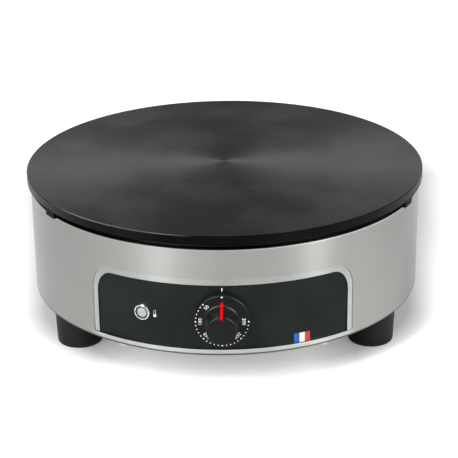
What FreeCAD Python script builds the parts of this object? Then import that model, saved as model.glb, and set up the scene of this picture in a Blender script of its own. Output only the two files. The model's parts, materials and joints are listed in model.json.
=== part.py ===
import FreeCAD, Part
import math
import os
import re

import Sketcher

# Electric crepe maker, in millimetres. The origin is on the floor under the
# middle of the griddle, +Z is up and the controls face -Y.

doc = FreeCAD.newDocument("crepe_maker")
sheet = doc.addObject("Spreadsheet::Sheet", "Sizes")

SIZES = {
    # griddle
    "plate_overhang": 3.5, "plate_rim": 9, "plate_web": 7.5, "rim_width": 14, "plate_edge": 0.8,
    "lug_height": 6, "lug_width": 16, "lug_depth": 11, "lug_start": -26, "lug_count": 3,
    # drum
    "body_radius": 196.5, "body_height": 106, "drum_sheet": 1, "top_flange": 16, "bottom_flange": 12,
    "window_bottom": 5.2, "window_height": 65.2, "window_half": 37.1, "window_corner": 21.5,
    "press_depth": 0.7, "press_border": 6, "press_half": 38.85, "press_corner": 26.5,
    "press_margin": 0.4, "opening_reach": 59,
    # base and feet
    "base_sheet": 1.2, "base_inset": 1.5, "screw_inset": 6.5, "screw_count": 6, "screw_radius": 2,
    "screw_head": 4, "screw_head_height": 2.4, "screw_length": 12, "vent_ring": 100,
    "vent_length": 34, "vent_width": 5, "vent_count": 12, "foot_height": 36.8, "foot_bottom": 22.5,
    "foot_top": 24, "foot_round": 3, "foot_inset": 28.5, "foot_spread": 60, "foot_count": 3,
    "foot_core": 9, "foot_recess": 16, "bolt_radius": 4, "bolt_flats": 13, "bolt_head": 5.3,
    "bolt_end": 3, "nut_height": 6.5, "washer_radius": 9, "washer_thick": 1.6,
    # heating
    "tube_radius": 4, "ring_inner": 70, "ring_room": 16, "ring_gap": 24, "ring_bend": 15,
    "return_bend": 20, "leg_bend": 12, "leg_left": -24, "leg_back": 20, "leg_end": 105,
    "clamp_start": 30, "clamp_count": 3, "clamp_width": 14, "clamp_thick": 3, "clamp_reach": 10,
    "clamp_screw": 3, "clamp_screw_head": 5, "clamp_head_height": 4, "boss_radius": 7,
    "rod_boss": 9, "rod_start": 60, "rod_count": 3, "rod_end": 2, "thread_depth": 8,
    "thread_room": 1, "boss_lift": 0.5, "shield_sheet": 0.8, "shield_depth": 31, "shield_room": 4.5,
    "shield_flange": 12, "blanket_thick": 20, "through_gap": 1.5,
    # sensing line
    "bulb_radius": 3, "bulb_length": 70, "bulb_angle": -30, "bulb_round": 1.8,
    "capillary_radius": 1, "capillary_bend": 8, "capillary_side": 14, "drop_angle": -56.5,
    "drop_shift": 10.7, "saddle_thick": 1.5, "saddle_half": 5, "saddle_border": 1,
    "saddle_room": 2.5,
    # control panel
    "panel_thick": 2, "panel_half": 42.5, "panel_height": 80, "panel_lift": 2, "stud_half": 40.7,
    "stud_radius": 2, "stud_length": 9, "stud_low": 14, "stud_high": 64, "stud_flats": 7,
    "control_height": 37.3, "shaft_room": 1,
    # thermostat and knob
    "bracket_room": 18.5, "bracket_sheet": 1.5, "bracket_width": 70, "bracket_height": 66,
    "bracket_foot": 26, "bracket_hole_side": 10, "bracket_hole_back": 8, "stat_width": 44,
    "stat_height": 36, "stat_depth": 30, "bushing_radius": 5, "bushing_length": 5,
    "stat_screw_spacing": 28, "stat_screw_depth": 10, "tab_width": 6.3, "tab_thick": 0.8,
    "tab_length": 8, "shaft_radius": 3, "shaft_flat": 1, "shaft_inside": 18, "shaft_reach": 14,
    "shaft_bevel": 0.4, "skirt_radius": 26, "skirt_thick": 6.7, "skirt_gap": 1.6, "skirt_round": 1,
    "grip_base": 15.2, "grip_top": 14.1, "grip_height": 21, "grip_fillet": 3, "grip_round": 1.2,
    "knob_wall": 2.2, "hub_radius": 6, "hub_room": 0.5, "pointer_width": 2.5, "pointer_start": 19.2,
    "pointer_tip": 2.5, "pointer_proud": 0.2, "pointer_inset": 0.8,
    # pilot lamp
    "lamp_turn": -22.5, "bezel_radius": 8.25, "bezel_height": 3, "bezel_inner": 5.3,
    "bezel_tube": 6.2, "bezel_length": 14, "bezel_round": 1.3, "lens_radius": 3.9, "lens_rise": 2.6,
    "lens_depth": 4, "lens_drop": 1.2, "holder_drop": 1.4, "lamp_length": 30,
    "lamp_nut_flats": 17, "lamp_nut_height": 3,
    # supply entry
    "gland_height": 20, "gland_thread": 10, "gland_flats": 26, "gland_flange": 5, "gland_neck": 9.2,
    "gland_neck_length": 12, "gland_inside": 13, "gland_bore": 6.4, "gland_nut_height": 5,
    "gland_washer": 1, "seal_bore": 4.75, "seal_length": 12, "seal_wall": 1, "dome_wall": 2.2,
    "dome_reach": 27.3, "dome_mouth": 6, "dome_lip": 2, "dome_shoulder": 3, "dome_room": 1,
    "dome_step": 1,
    # terminals and leads
    "block_inset": 51.5, "block_width": 46, "block_depth": 22, "block_height": 20,
    "block_screw": 3, "block_floor": 2, "way_room": 1, "way_wall": 3, "earth_side": 46,
    "earth_radius": 2.5, "earth_height": 16, "earth_flats": 8, "earth_nut": 4,
    "lead_radius": 1.6, "lead_bend": 12, "lead_spread": 2.4, "lead_drop": 40,
    # clearances, and how far a cutting outline reaches past what it cuts
    "seat_gap": 0.2, "hole_gap": 0.2, "thread_gap": 0.1, "running_gap": 0.05, "overrun": 1,
}

for row, (alias, number) in enumerate(SIZES.items(), start=1):
    sheet.set(f"A{row}", alias)
    sheet.set(f"B{row}", str(number))
    sheet.setAlias(f"B{row}", alias)
doc.recompute()

# Heights above the floor, from the bottom up.
BODY_BOTTOM = "(foot_height + base_sheet)"
BODY_TOP = f"({BODY_BOTTOM} + body_height)"
RIM_BOTTOM = f"({BODY_TOP} + lug_height)"
PLATE_TOP = f"({RIM_BOTTOM} + plate_rim)"
WEB_BOTTOM = f"({PLATE_TOP} - plate_web)"
TUBE_HEIGHT = f"({WEB_BOTTOM} - seat_gap - tube_radius)"
CLAMP_TOP = f"({TUBE_HEIGHT} - tube_radius - seat_gap)"
CLAMP_BOTTOM = f"({CLAMP_TOP} - clamp_thick)"
BOSS_BOTTOM = f"({CLAMP_TOP} + boss_lift)"
SADDLE_TOP = f"({WEB_BOTTOM} - 2 * bulb_radius - 2 * seat_gap)"
SHIELD_BOTTOM = f"({BODY_TOP} - shield_depth)"
CONTROL_HEIGHT = f"({BODY_BOTTOM} + control_height)"

# Radii and distances from the middle. All of them follow the drum's radius.
PLATE_RADIUS = "(body_radius + plate_overhang)"
DRUM_INSIDE = "(body_radius - drum_sheet)"
SCREW_RING = "(body_radius - screw_inset)"
FOOT_RING = "(body_radius - foot_inset)"
SHIELD_RADIUS = "(body_radius - top_flange - shield_room)"
PANEL_RADIUS = "(body_radius - press_depth - drum_sheet - seat_gap)"
PANEL_INSIDE = f"({PANEL_RADIUS} - panel_thick)"
RING_OUTER = f"({SHIELD_RADIUS} - ring_room)"
RING_STEP = f"(({RING_OUTER} - ring_inner) / 2)"
INNER_GAP = f"(ring_inner + {RING_STEP} / 2)"
OUTER_GAP = f"(ring_inner + 1.5 * {RING_STEP})"
KNOB_BACK = f"({PANEL_RADIUS} + skirt_gap)"
BRACKET_DISTANCE = "(body_radius - bracket_room)"
STAT_FRONT = f"({BRACKET_DISTANCE} - bracket_sheet)"
BRACKET_FOOT_END = f"({BRACKET_DISTANCE} - bracket_foot)"
BRACKET_SPOTS = [(f"{side} * (bracket_width / 2 - bracket_hole_side)",
                  f"-{BRACKET_FOOT_END} - bracket_hole_back") for side in (-1, 1)]
SADDLE_OFFSET = "(2 * bulb_radius + saddle_room)"
BLOCK_BACK = "(body_radius - block_inset)"

ABOUT_Z = FreeCAD.Vector(0, 0, 1)
FACING_FRONT = FreeCAD.Rotation(FreeCAD.Vector(1, 0, 0), 90)
FACING_BACK = FreeCAD.Rotation(ABOUT_Z, 180) * FACING_FRONT


def linked(expression):
    """The expression with every size name pointed at the sheet."""
    def point(word):
        return "Sizes." + word.group(0) if word.group(0) in SIZES else word.group(0)
    return re.sub(r"[A-Za-z_]\w*", point, str(expression))


def value(expression):
    return float(sheet.evalExpression(linked(expression)))


def bind(item, path, expression):
    item.setExpression(path, linked(expression))


def new_body(name):
    body = doc.addObject("PartDesign::Body", name)
    body.Label = name
    return body


def origin_part(body, role):
    return next(part for part in body.Origin.OriginFeatures if part.Role == role)


def place(item, x="0", y="0", z="0", rotation=FreeCAD.Rotation()):
    """Put a piece at a place given by expressions."""
    item.Placement = FreeCAD.Placement(FreeCAD.Vector(value(x), value(y), value(z)), rotation)
    for path, expression in (("x", x), ("y", y), ("z", z)):
        bind(item, f"Placement.Base.{path}", expression)


def new_sketch(body, name, plane, lift="0", turn="0"):
    """A sketch on an origin plane, lifted along its normal and turned about its upright axis."""
    sketch = body.newObject("Sketcher::SketchObject", name)
    sketch.AttachmentSupport = [(origin_part(body, plane), "")]
    sketch.MapMode = "FlatFace"
    upright = FreeCAD.Rotation(FreeCAD.Vector(0, 1, 0), value(turn))
    aside, ahead = f"({lift}) * sin({turn})", f"({lift}) * cos({turn})"
    spot = FreeCAD.Vector(value(aside), 0, value(ahead))
    sketch.AttachmentOffset = FreeCAD.Placement(spot, upright)
    bind(sketch, "AttachmentOffset.Base.x", aside)
    bind(sketch, "AttachmentOffset.Base.z", ahead)
    return sketch


def pin_point(sketch, geometry, point, x, y):
    """Hold a sketch point at x and y, each an expression."""
    for kind, expression, axis in (("DistanceX", x, -2), ("DistanceY", y, -1)):
        size = value(expression)
        if abs(size) < 1e-9:
            sketch.addConstraint(Sketcher.Constraint("PointOnObject", geometry, point, axis))
        else:
            constraint = Sketcher.Constraint(kind, -1, 1, geometry, point, size)
            bind(sketch, f"Constraints[{sketch.addConstraint(constraint)}]", expression)


def polygon(sketch, corners):
    """A closed outline whose corners are pairs of expressions."""
    first = sketch.GeometryCount
    spots = [FreeCAD.Vector(value(x), value(y), 0) for x, y in corners]
    for start, end in zip(spots, spots[1:] + spots[:1]):
        sketch.addGeometry(Part.LineSegment(start, end), False)
    count = len(corners)
    for side in range(count):
        joined = (first + side, 2, first + (side + 1) % count, 1)
        sketch.addConstraint(Sketcher.Constraint("Coincident", *joined))
    for side, (x, y) in enumerate(corners):
        pin_point(sketch, first + side, 1, x, y)
    return sketch


def rectangle(sketch, left, low, right, high):
    return polygon(sketch, [(left, low), (right, low), (right, high), (left, high)])


def hexagon(sketch, x, y, flats):
    reach = f"({flats}) / sqrt(3)"
    corners = [(f"{x} + {reach} * cos({60 * corner})", f"{y} + {reach} * sin({60 * corner})")
               for corner in range(6)]
    return polygon(sketch, corners)


def circle(sketch, x, y, radius):
    middle = FreeCAD.Vector(value(x), value(y), 0)
    index = sketch.addGeometry(Part.Circle(middle, ABOUT_Z, value(radius)), False)
    pin_point(sketch, index, 3, x, y)
    constraint = Sketcher.Constraint("Radius", index, value(radius))
    bind(sketch, f"Constraints[{sketch.addConstraint(constraint)}]", radius)
    return sketch


def add_feature(body, kind, name, sketch):
    feature = body.newObject(f"PartDesign::{kind}", name)
    feature.Profile = sketch
    return feature


def checked_cut(body, feature, before):
    """A cut that points away from the solid removes nothing, so its volume is compared."""
    doc.recompute()
    if feature.Shape.Volume > before - 1e-3:
        raise ValueError(f"{body.Label}: {feature.Label} removes nothing")
    return feature


def pad(body, name, sketch, length, midplane=False):
    """Raise a sketch along its normal."""
    feature = add_feature(body, "Pad", name, sketch)
    feature.Midplane = midplane
    bind(feature, "Length", length)
    return feature


def pocket(body, name, sketch, length, midplane=False):
    """Cut a sketch along its normal."""
    doc.recompute()
    before = body.Tip.Shape.Volume
    feature = add_feature(body, "Pocket", name, sketch)
    feature.Reversed = not midplane
    feature.Midplane = midplane
    bind(feature, "Length", length)
    return checked_cut(body, feature, before)


def turned(body, name, sketch, angle="360", axis="Z_Axis"):
    """Revolve a sketch about an origin axis, evenly to both sides."""
    feature = add_feature(body, "Revolution", name, sketch)
    feature.ReferenceAxis = (origin_part(body, axis), [""])
    feature.Midplane = angle != "360"
    bind(feature, "Angle", angle)
    return feature


def turned_on_side(body, name, sketch, side):
    """Revolve a sketch about one of its own straight sides."""
    feature = add_feature(body, "Revolution", name, sketch)
    feature.ReferenceAxis = (sketch, [f"Edge{side}"])
    feature.Angle = 360
    return feature


def ring_of(body, name, features, count, angle="360"):
    """Repeat features round the upright axis."""
    doc.recompute()
    pattern = body.newObject("PartDesign::PolarPattern", name)
    pattern.Originals = features
    pattern.Axis = (origin_part(body, "Z_Axis"), [""])
    bind(pattern, "Angle", angle)
    bind(pattern, "Occurrences", count)
    body.Tip = pattern
    return pattern


def edge_names(body, pick):
    doc.recompute()
    return [f"Edge{number}" for number, edge in enumerate(body.Tip.Shape.Edges, start=1) if pick(edge)]


def rounded(body, name, radius, pick):
    """Fillet the edges that pick chooses."""
    base = body.Tip
    edges = edge_names(body, pick)
    feature = body.newObject("PartDesign::Fillet", name)
    feature.Base = (base, edges)
    bind(feature, "Radius", radius)
    return feature


def bevelled(body, name, size, pick):
    """Chamfer the edges that pick chooses."""
    base = body.Tip
    edges = edge_names(body, pick)
    feature = body.newObject("PartDesign::Chamfer", name)
    feature.Base = (base, edges)
    bind(feature, "Size", size)
    return feature


def circle_at(radius, height):
    """Chooses whole circles about the upright axis, of a radius and at a height."""
    def pick(edge):
        curve = edge.Curve
        return (edge.isClosed() and hasattr(curve, "Radius") and hasattr(curve, "Center")
                and abs(curve.Radius - value(radius)) < 1e-3
                and abs(curve.Center.z - value(height)) < 1e-3)
    return pick


def upright_spot(angle, distance):
    """Where a point at an angle and distance from the middle lies."""
    return f"({distance}) * cos({angle})", f"({distance}) * sin({angle})"


# The griddle: a casting with a thicker rim, three lugs that lift it off the drum, and
# bosses under it for the tie rods, the element clamps and the sensor saddle.

def griddle_plate():
    body = new_body("griddle_plate")
    rim_inside = f"{PLATE_RADIUS} - rim_width"
    section = polygon(new_sketch(body, "plate_section", "XZ_Plane"), [
        ("0", WEB_BOTTOM), (rim_inside, WEB_BOTTOM), (rim_inside, RIM_BOTTOM),
        (PLATE_RADIUS, RIM_BOTTOM), (PLATE_RADIUS, PLATE_TOP), ("0", PLATE_TOP)])
    turned(body, "plate_casting", section)
    bevelled(body, "plate_edge_bevel", "plate_edge", circle_at(PLATE_RADIUS, PLATE_TOP))
    lug_section = rectangle(new_sketch(body, "lug_section", "XZ_Plane", turn="lug_start"),
                            f"{PLATE_RADIUS} - lug_depth", BODY_TOP, PLATE_RADIUS, RIM_BOTTOM)
    lug = turned(body, "lug", lug_section, f"lug_width / {PLATE_RADIUS} * 180 / pi")
    ring_of(body, "lugs", [lug], "lug_count")
    bosses_and_threads(body, "rod", "rod_boss", "bolt_radius", "rod_start", "rod_count", [OUTER_GAP])
    bosses_and_threads(body, "clamp", "boss_radius", "clamp_screw", "clamp_start", "clamp_count",
                       [INNER_GAP, OUTER_GAP])
    bosses_and_threads(body, "saddle", "bulb_radius + saddle_border", "screw_radius", "bulb_angle", "1",
                       [f"{INNER_GAP} + {SADDLE_OFFSET}"])
    return body


def bosses_and_threads(body, name, boss, screw, start, count, distances):
    """Round bosses under the griddle's web, and a blind thread up into each."""
    low = SADDLE_TOP if name == "saddle" else BOSS_BOTTOM
    outline = new_sketch(body, f"{name}_boss_outline", "XY_Plane", lift=low)
    drill = new_sketch(body, f"{name}_thread_outline", "XY_Plane", lift=f"{low} - seat_gap")
    for distance in distances:
        x, y = upright_spot(start, distance)
        circle(outline, x, y, boss)
        circle(drill, x, y, f"{screw} + thread_gap")
    raised = pad(body, f"{name}_boss", outline, f"{WEB_BOTTOM} - {low} + seat_gap")
    if count != "1":
        ring_of(body, f"{name}_bosses", [raised], count)
    threads = pocket(body, f"{name}_thread", drill, "thread_depth + seat_gap")
    if count != "1":
        ring_of(body, f"{name}_threads", [threads], count)


# The heating element: one sheathed tube. It rises through the shield, runs round three
# rings joined by return bends, and comes back to a second leg beside the first.

def arc_edge(middle, radius, start, end, height):
    """A level arc from one angle to another, in degrees."""
    spots = []
    for angle in (start, (start + end) / 2, end):
        turn = math.radians(angle)
        spots.append(FreeCAD.Vector(middle[0] + radius * math.cos(turn),
                                    middle[1] + radius * math.sin(turn), height))
    return Part.Arc(*spots).toShape()


def on_ring(radius, angle):
    return radius * math.cos(math.radians(angle)), radius * math.sin(math.radians(angle))


def leg_edges(x, inner_end, height):
    """A leg from below, its bend, and the level run that it turns into."""
    bend, back = value("leg_bend"), value("leg_back")
    low = FreeCAD.Vector(x, back, value("leg_end"))
    knee = FreeCAD.Vector(x, back, height - bend)
    half = bend * math.sqrt(0.5)
    middle = FreeCAD.Vector(x, back + bend - half, height - bend + half)
    top = FreeCAD.Vector(x, back + bend, height)
    run_end = FreeCAD.Vector(x, inner_end, height)
    return [Part.LineSegment(low, knee).toShape(), Part.Arc(knee, middle, top).toShape(),
            Part.LineSegment(top, run_end).toShape()]


def element_path():
    height = value(TUBE_HEIGHT)
    inner, step = value("ring_inner"), value(RING_STEP)
    middle, outer = inner + step, inner + 2 * step
    right, left = 90 - value("ring_gap"), 90 + value("ring_gap")
    bend, last_bend = value("ring_bend"), value("return_bend")
    leg_x = value("leg_left")
    start = math.degrees(math.acos((leg_x - bend) / (inner - bend)))
    end = math.degrees(math.acos(last_bend / (outer - last_bend)))
    first_middle = on_ring(inner - bend, start)
    last_middle = on_ring(outer - last_bend, end)
    origin = (0, 0)
    return leg_edges(leg_x, first_middle[1], height) + [
        arc_edge(first_middle, bend, 0, start, height),
        arc_edge(origin, inner, start, 360 + right, height),
        arc_edge(on_ring(inner + step / 2, right), step / 2, right + 180, right, height),
        arc_edge(origin, middle, 360 + right, left, height),
        arc_edge(on_ring(middle + step / 2, left), step / 2, left + 180, left + 360, height),
        arc_edge(origin, outer, left, 360 + end, height),
        arc_edge(last_middle, last_bend, end, 180, height),
    ] + leg_edges(0, last_middle[1], height)[::-1]


def swept(edges, radius):
    """A round tube along edges that meet end to end."""
    path = Part.Wire(Part.__sortEdges__(edges))
    first = path.OrderedEdges[0]
    spot = first.valueAt(first.FirstParameter)
    direction = first.tangentAt(first.FirstParameter)
    if first.Orientation == "Reversed":
        spot = first.valueAt(first.LastParameter)
        direction = first.tangentAt(first.LastParameter) * -1
    ring = Part.Wire(Part.Circle(spot, direction, radius).toShape())
    tube = path.makePipeShell([ring], True, False)
    print(f"tube volume / (section x length): {tube.Volume / (math.pi * radius ** 2 * path.Length):.4f}")
    return tube


def new_feature(name, shape):
    feature = doc.addObject("Part::Feature", name)
    feature.Label = name
    feature.Shape = shape
    feature.Placement = FreeCAD.Placement()
    return feature


def heating_element():
    return new_feature("heating_element", swept(element_path(), value("tube_radius")))


def element_clamps():
    """Flat bars across the rings, drawn up by two screws each."""
    body = new_body("element_clamps")
    bar = rectangle(new_sketch(body, "bar_outline", "XY_Plane", lift=CLAMP_BOTTOM),
                    "ring_inner - clamp_reach", "-clamp_width / 2",
                    f"{RING_OUTER} + clamp_reach", "clamp_width / 2")
    first = pad(body, "bar", bar, "clamp_thick")
    holes = new_sketch(body, "bar_hole_outline", "XY_Plane", lift=f"{CLAMP_BOTTOM} - seat_gap")
    for distance in (INNER_GAP, OUTER_GAP):
        circle(holes, distance, "0", "clamp_screw + hole_gap")
    drilled = pocket(body, "bar_holes", holes, "clamp_thick + 2 * seat_gap")
    ring_of(body, "bars", [first, drilled], "clamp_count")
    place(body, rotation=FreeCAD.Rotation(ABOUT_Z, value("clamp_start")))
    return body


def screw_ring_group(name, distances, low, head, head_height, shank, length, start, count):
    """Round-headed screws standing up, repeated round the middle."""
    body = new_body(name)
    screws = []
    for number, distance in enumerate(distances):
        section = polygon(new_sketch(body, f"screw_section_{number}", "XZ_Plane"), [
            (distance, low), (f"{distance} + {head}", low),
            (f"{distance} + {head}", f"{low} + {head_height}"),
            (f"{distance} + {shank}", f"{low} + {head_height}"),
            (f"{distance} + {shank}", f"{low} + {length}"), (distance, f"{low} + {length}")])
        screws.append(turned_on_side(body, f"screw_{number}", section, 6))
    if count != "1":
        ring_of(body, "screw_ring_pattern", screws, count)
    place(body, rotation=FreeCAD.Rotation(ABOUT_Z, value(start)))
    return body


def clamp_screws():
    head_low = f"{CLAMP_BOTTOM} - clamp_head_height - seat_gap"
    return screw_ring_group("clamp_screws", [INNER_GAP, OUTER_GAP], head_low, "clamp_screw_head",
                            "clamp_head_height", "clamp_screw",
                            f"{BOSS_BOTTOM} + thread_depth - thread_room - ({head_low})",
                            "clamp_start", "clamp_count")


# The heat shield is a pan that hangs by its flange on the drum's top flange, and holds the
# ceramic blanket. Tie rods, element legs and the capillary pass through both.

CAPILLARY_SPOT = upright_spot("drop_angle", f"{INNER_GAP} + drop_shift")


def passages(body, name, low, depth):
    """Holes for what passes down through the shield and the blanket."""
    outline = new_sketch(body, f"{name}_outline", "XY_Plane", lift=low)
    for number in range(int(value("rod_count"))):
        x, y = upright_spot(f"rod_start + {number} * 360 / rod_count", OUTER_GAP)
        circle(outline, x, y, "bolt_radius + through_gap")
    for x in ("leg_left", "0"):
        circle(outline, x, "leg_back", "tube_radius + through_gap")
    circle(outline, *CAPILLARY_SPOT, "capillary_radius + through_gap")
    return pocket(body, name, outline, depth)


def heat_shield():
    body = new_body("heat_shield")
    inside = f"{SHIELD_RADIUS} - shield_sheet"
    floor_top = f"{SHIELD_BOTTOM} + shield_sheet"
    flange_top = f"{BODY_TOP} + shield_sheet"
    flange = f"{SHIELD_RADIUS} + shield_flange"
    section = polygon(new_sketch(body, "pan_section", "XZ_Plane"), [
        ("0", SHIELD_BOTTOM), (SHIELD_RADIUS, SHIELD_BOTTOM), (SHIELD_RADIUS, BODY_TOP),
        (flange, BODY_TOP), (flange, flange_top), (inside, flange_top), (inside, floor_top),
        ("0", floor_top)])
    turned(body, "pan", section)
    passages(body, "pan_holes", f"{SHIELD_BOTTOM} - seat_gap", "shield_sheet + 2 * seat_gap")
    return body


def insulation_blanket():
    body = new_body("insulation_blanket")
    low = f"{SHIELD_BOTTOM} + shield_sheet + seat_gap"
    outline = circle(new_sketch(body, "blanket_outline", "XY_Plane", lift=low), "0", "0",
                     f"{SHIELD_RADIUS} - shield_sheet - 2 * seat_gap")
    pad(body, "blanket", outline, "blanket_thick")
    passages(body, "blanket_holes", f"{low} - seat_gap", "blanket_thick + 2 * seat_gap")
    return body


def tie_rods():
    """Studs from the griddle's bosses down through the base."""
    body = new_body("tie_rods")
    low = "foot_height - washer_thick - nut_height - rod_end"
    section = rectangle(new_sketch(body, "rod_section", "XZ_Plane"), OUTER_GAP, low,
                        f"{OUTER_GAP} + bolt_radius", f"{BOSS_BOTTOM} + thread_depth - thread_room")
    rod = turned_on_side(body, "rod", section, 4)
    ring_of(body, "rods", [rod], "rod_count")
    place(body, rotation=FreeCAD.Rotation(ABOUT_Z, value("rod_start")))
    return body


def tie_rod_washers():
    body = new_body("tie_rod_washers")
    outline = new_sketch(body, "washer_outline", "XY_Plane", lift="foot_height - washer_thick")
    circle(outline, OUTER_GAP, "0", "washer_radius")
    circle(outline, OUTER_GAP, "0", "bolt_radius + hole_gap")
    ring_of(body, "washers", [pad(body, "washer", outline, "washer_thick")], "rod_count")
    place(body, rotation=FreeCAD.Rotation(ABOUT_Z, value("rod_start")))
    return body


def hex_nuts(name, distance, low, flats, height, bore, start, count):
    """Hexagon nuts lying flat, repeated round the middle."""
    body = new_body(name)
    outline = new_sketch(body, "nut_outline", "XY_Plane", lift=low)
    hexagon(outline, distance, "0", flats)
    circle(outline, distance, "0", f"{bore} + thread_gap")
    ring_of(body, "nuts", [pad(body, "nut", outline, height)], count)
    place(body, rotation=FreeCAD.Rotation(ABOUT_Z, value(start)))
    return body


# The drum: one sheet rolled round, its edges turned in at top and bottom. The front is
# pressed in round the control window, so the window's edge stands back from the skin.

def arched(sketch, half, low, high, corner):
    """An upright opening with square lower corners and rounded upper ones."""
    corners = [(f"-({half})", low), (half, low), (half, f"{high} - {corner}"),
               (f"{half} - {corner}", high), (f"-({half}) + {corner}", high),
               (f"-({half})", f"{high} - {corner}")]
    spots = [FreeCAD.Vector(value(x), value(y), 0) for x, y in corners]
    bulge = value(corner) * (1 - math.sqrt(0.5))
    arcs, before_arcs = (2, 4), (1, 3)
    for side, (start, end) in enumerate(zip(spots, spots[1:] + spots[:1])):
        if side in arcs:
            hand = math.copysign(1, start.x)
            middle = FreeCAD.Vector(hand * (value(half) - bulge), value(high) - bulge, 0)
            sketch.addGeometry(Part.Arc(start, middle, end), False)
        else:
            sketch.addGeometry(Part.LineSegment(start, end), False)
    for side in range(6):
        kind = "Tangent" if side in before_arcs else "Coincident"
        sketch.addConstraint(Sketcher.Constraint(kind, side, 2, (side + 1) % 6, 1))
    for side, (x, y) in enumerate(corners):
        pin_point(sketch, side, 1, x, y)
    return sketch


def front_opening(body, name, half_angle, low, high, corner):
    """Cut an opening in the drum's front whose sides point at the drum's middle."""
    doc.recompute()
    before = body.Tip.Shape.Volume
    outlines = [arched(new_sketch(body, f"{name}_outline", "XZ_Plane", lift=distance),
                       f"{distance} * tan({half_angle})", low, high, corner)
                for distance in ("(body_radius - opening_reach)", "(body_radius + overrun)")]
    feature = add_feature(body, "SubtractiveLoft", name, outlines[0])
    feature.Sections = outlines[1:]
    feature.Ruled = True
    return checked_cut(body, feature, before)


def body_shell():
    body = new_body("body_shell")
    inside_top = f"{BODY_TOP} - drum_sheet"
    inside_low = f"{BODY_BOTTOM} + drum_sheet"
    section = polygon(new_sketch(body, "drum_section", "XZ_Plane"), [
        ("body_radius", BODY_BOTTOM), ("body_radius", BODY_TOP),
        ("body_radius - top_flange", BODY_TOP), ("body_radius - top_flange", inside_top),
        (DRUM_INSIDE, inside_top), (DRUM_INSIDE, inside_low),
        ("body_radius - bottom_flange", inside_low), ("body_radius - bottom_flange", BODY_BOTTOM)])
    turned(body, "drum", section)
    low = f"{BODY_BOTTOM} + window_bottom"
    window_top = f"{low} + window_height"
    press_top = f"{window_top} + press_border"
    front_opening(body, "press", "press_half", low, press_top, "press_corner")
    step = rectangle(new_sketch(body, "pressed_section", "YZ_Plane"),
                     f"-({DRUM_INSIDE} - press_depth)", inside_low, "-(body_radius - press_depth)",
                     f"{press_top} + 2 * drum_sheet")
    turned(body, "pressed_frame", step, "2 * (press_half + press_margin)")
    front_opening(body, "window", "window_half", low, window_top, "window_corner")
    holes = circle(new_sketch(body, "screw_hole_outline", "XY_Plane", lift=f"{BODY_BOTTOM} - overrun"),
                   SCREW_RING, "0", "screw_radius + thread_gap")
    hole = pocket(body, "screw_hole", holes, "drum_sheet + 2 * overrun")
    ring_of(body, "screw_holes", [hole], "screw_count")
    entry = circle(new_sketch(body, "cable_hole_outline", "XZ_Plane",
                              lift="-(body_radius + overrun)"),
                   "0", f"{BODY_BOTTOM} + gland_height", "gland_thread + hole_gap")
    pocket(body, "cable_hole", entry, "drum_sheet + 3 * overrun")
    return body


def base_plate():
    """The disc that closes the drum, with vents, and holes for feet, rods and screws."""
    body = new_body("base_plate")
    disc = circle(new_sketch(body, "disc_outline", "XY_Plane", lift="foot_height"), "0", "0",
                  "body_radius - base_inset")
    pad(body, "disc", disc, "base_sheet")
    under = "foot_height - overrun"
    through = "base_sheet + 2 * overrun"
    holes = new_sketch(body, "base_hole_outline", "XY_Plane", lift=under)
    for start, count, distance in (("-90 - foot_spread", "foot_count", FOOT_RING),
                                   ("rod_start", "rod_count", OUTER_GAP)):
        for number in range(int(value(count))):
            spot = upright_spot(f"{start} + {number} * 360 / {count}", distance)
            circle(holes, *spot, "bolt_radius + hole_gap")
    for spot in BRACKET_SPOTS:
        circle(holes, *spot, "screw_radius + hole_gap")
    pocket(body, "base_holes", holes, through)
    edge_hole = circle(new_sketch(body, "edge_hole_outline", "XY_Plane", lift=under),
                       SCREW_RING, "0", "screw_radius + hole_gap")
    ring_of(body, "edge_holes", [pocket(body, "edge_hole", edge_hole, through)], "screw_count")
    vent = rectangle(new_sketch(body, "vent_outline", "XY_Plane", lift=under),
                     "vent_ring - vent_length / 2", "-vent_width / 2",
                     "vent_ring + vent_length / 2", "vent_width / 2")
    ring_of(body, "vents", [pocket(body, "vent", vent, through)], "vent_count")
    return body


def base_screws():
    return screw_ring_group("base_screws", [SCREW_RING], "foot_height - screw_head_height",
                            "screw_head", "screw_head_height", "screw_radius", "screw_length", "0",
                            "screw_count")


def foot(name, angle):
    """A tapered rubber foot with a recess for its bolt's head."""
    body = new_body(name)
    seat = "foot_recess + bolt_head"
    section = polygon(new_sketch(body, "foot_section", "XZ_Plane"), [
        ("foot_core", "0"), ("foot_bottom", "0"), ("foot_top", "foot_height"),
        ("bolt_radius + hole_gap", "foot_height"), ("bolt_radius + hole_gap", seat),
        ("foot_core", seat)])
    turned(body, "foot_turned", section)
    rounded(body, "foot_edge", "foot_round", circle_at("foot_bottom", "0"))
    x, y = upright_spot(angle, FOOT_RING)
    place(body, x, y)
    return body


def foot_bolts():
    """Hexagon bolts up through the feet, their heads in the recesses."""
    body = new_body("foot_bolts")
    head = hexagon(new_sketch(body, "head_outline", "XY_Plane", lift="foot_recess"), FOOT_RING, "0",
                   "bolt_flats")
    shank = circle(new_sketch(body, "shank_outline", "XY_Plane", lift="foot_recess"), FOOT_RING, "0",
                   "bolt_radius")
    parts = [pad(body, "head", head, "bolt_head"),
             pad(body, "shank", shank, f"{BODY_BOTTOM} - foot_recess + nut_height + bolt_end")]
    ring_of(body, "bolts", parts, "foot_count")
    place(body, rotation=FreeCAD.Rotation(ABOUT_Z, value("-90 - foot_spread")))
    return body


# The control panel is bent to the drum's curve and lies behind the pressed frame. It is held
# by four studs welded to the drum beside the window.

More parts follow.
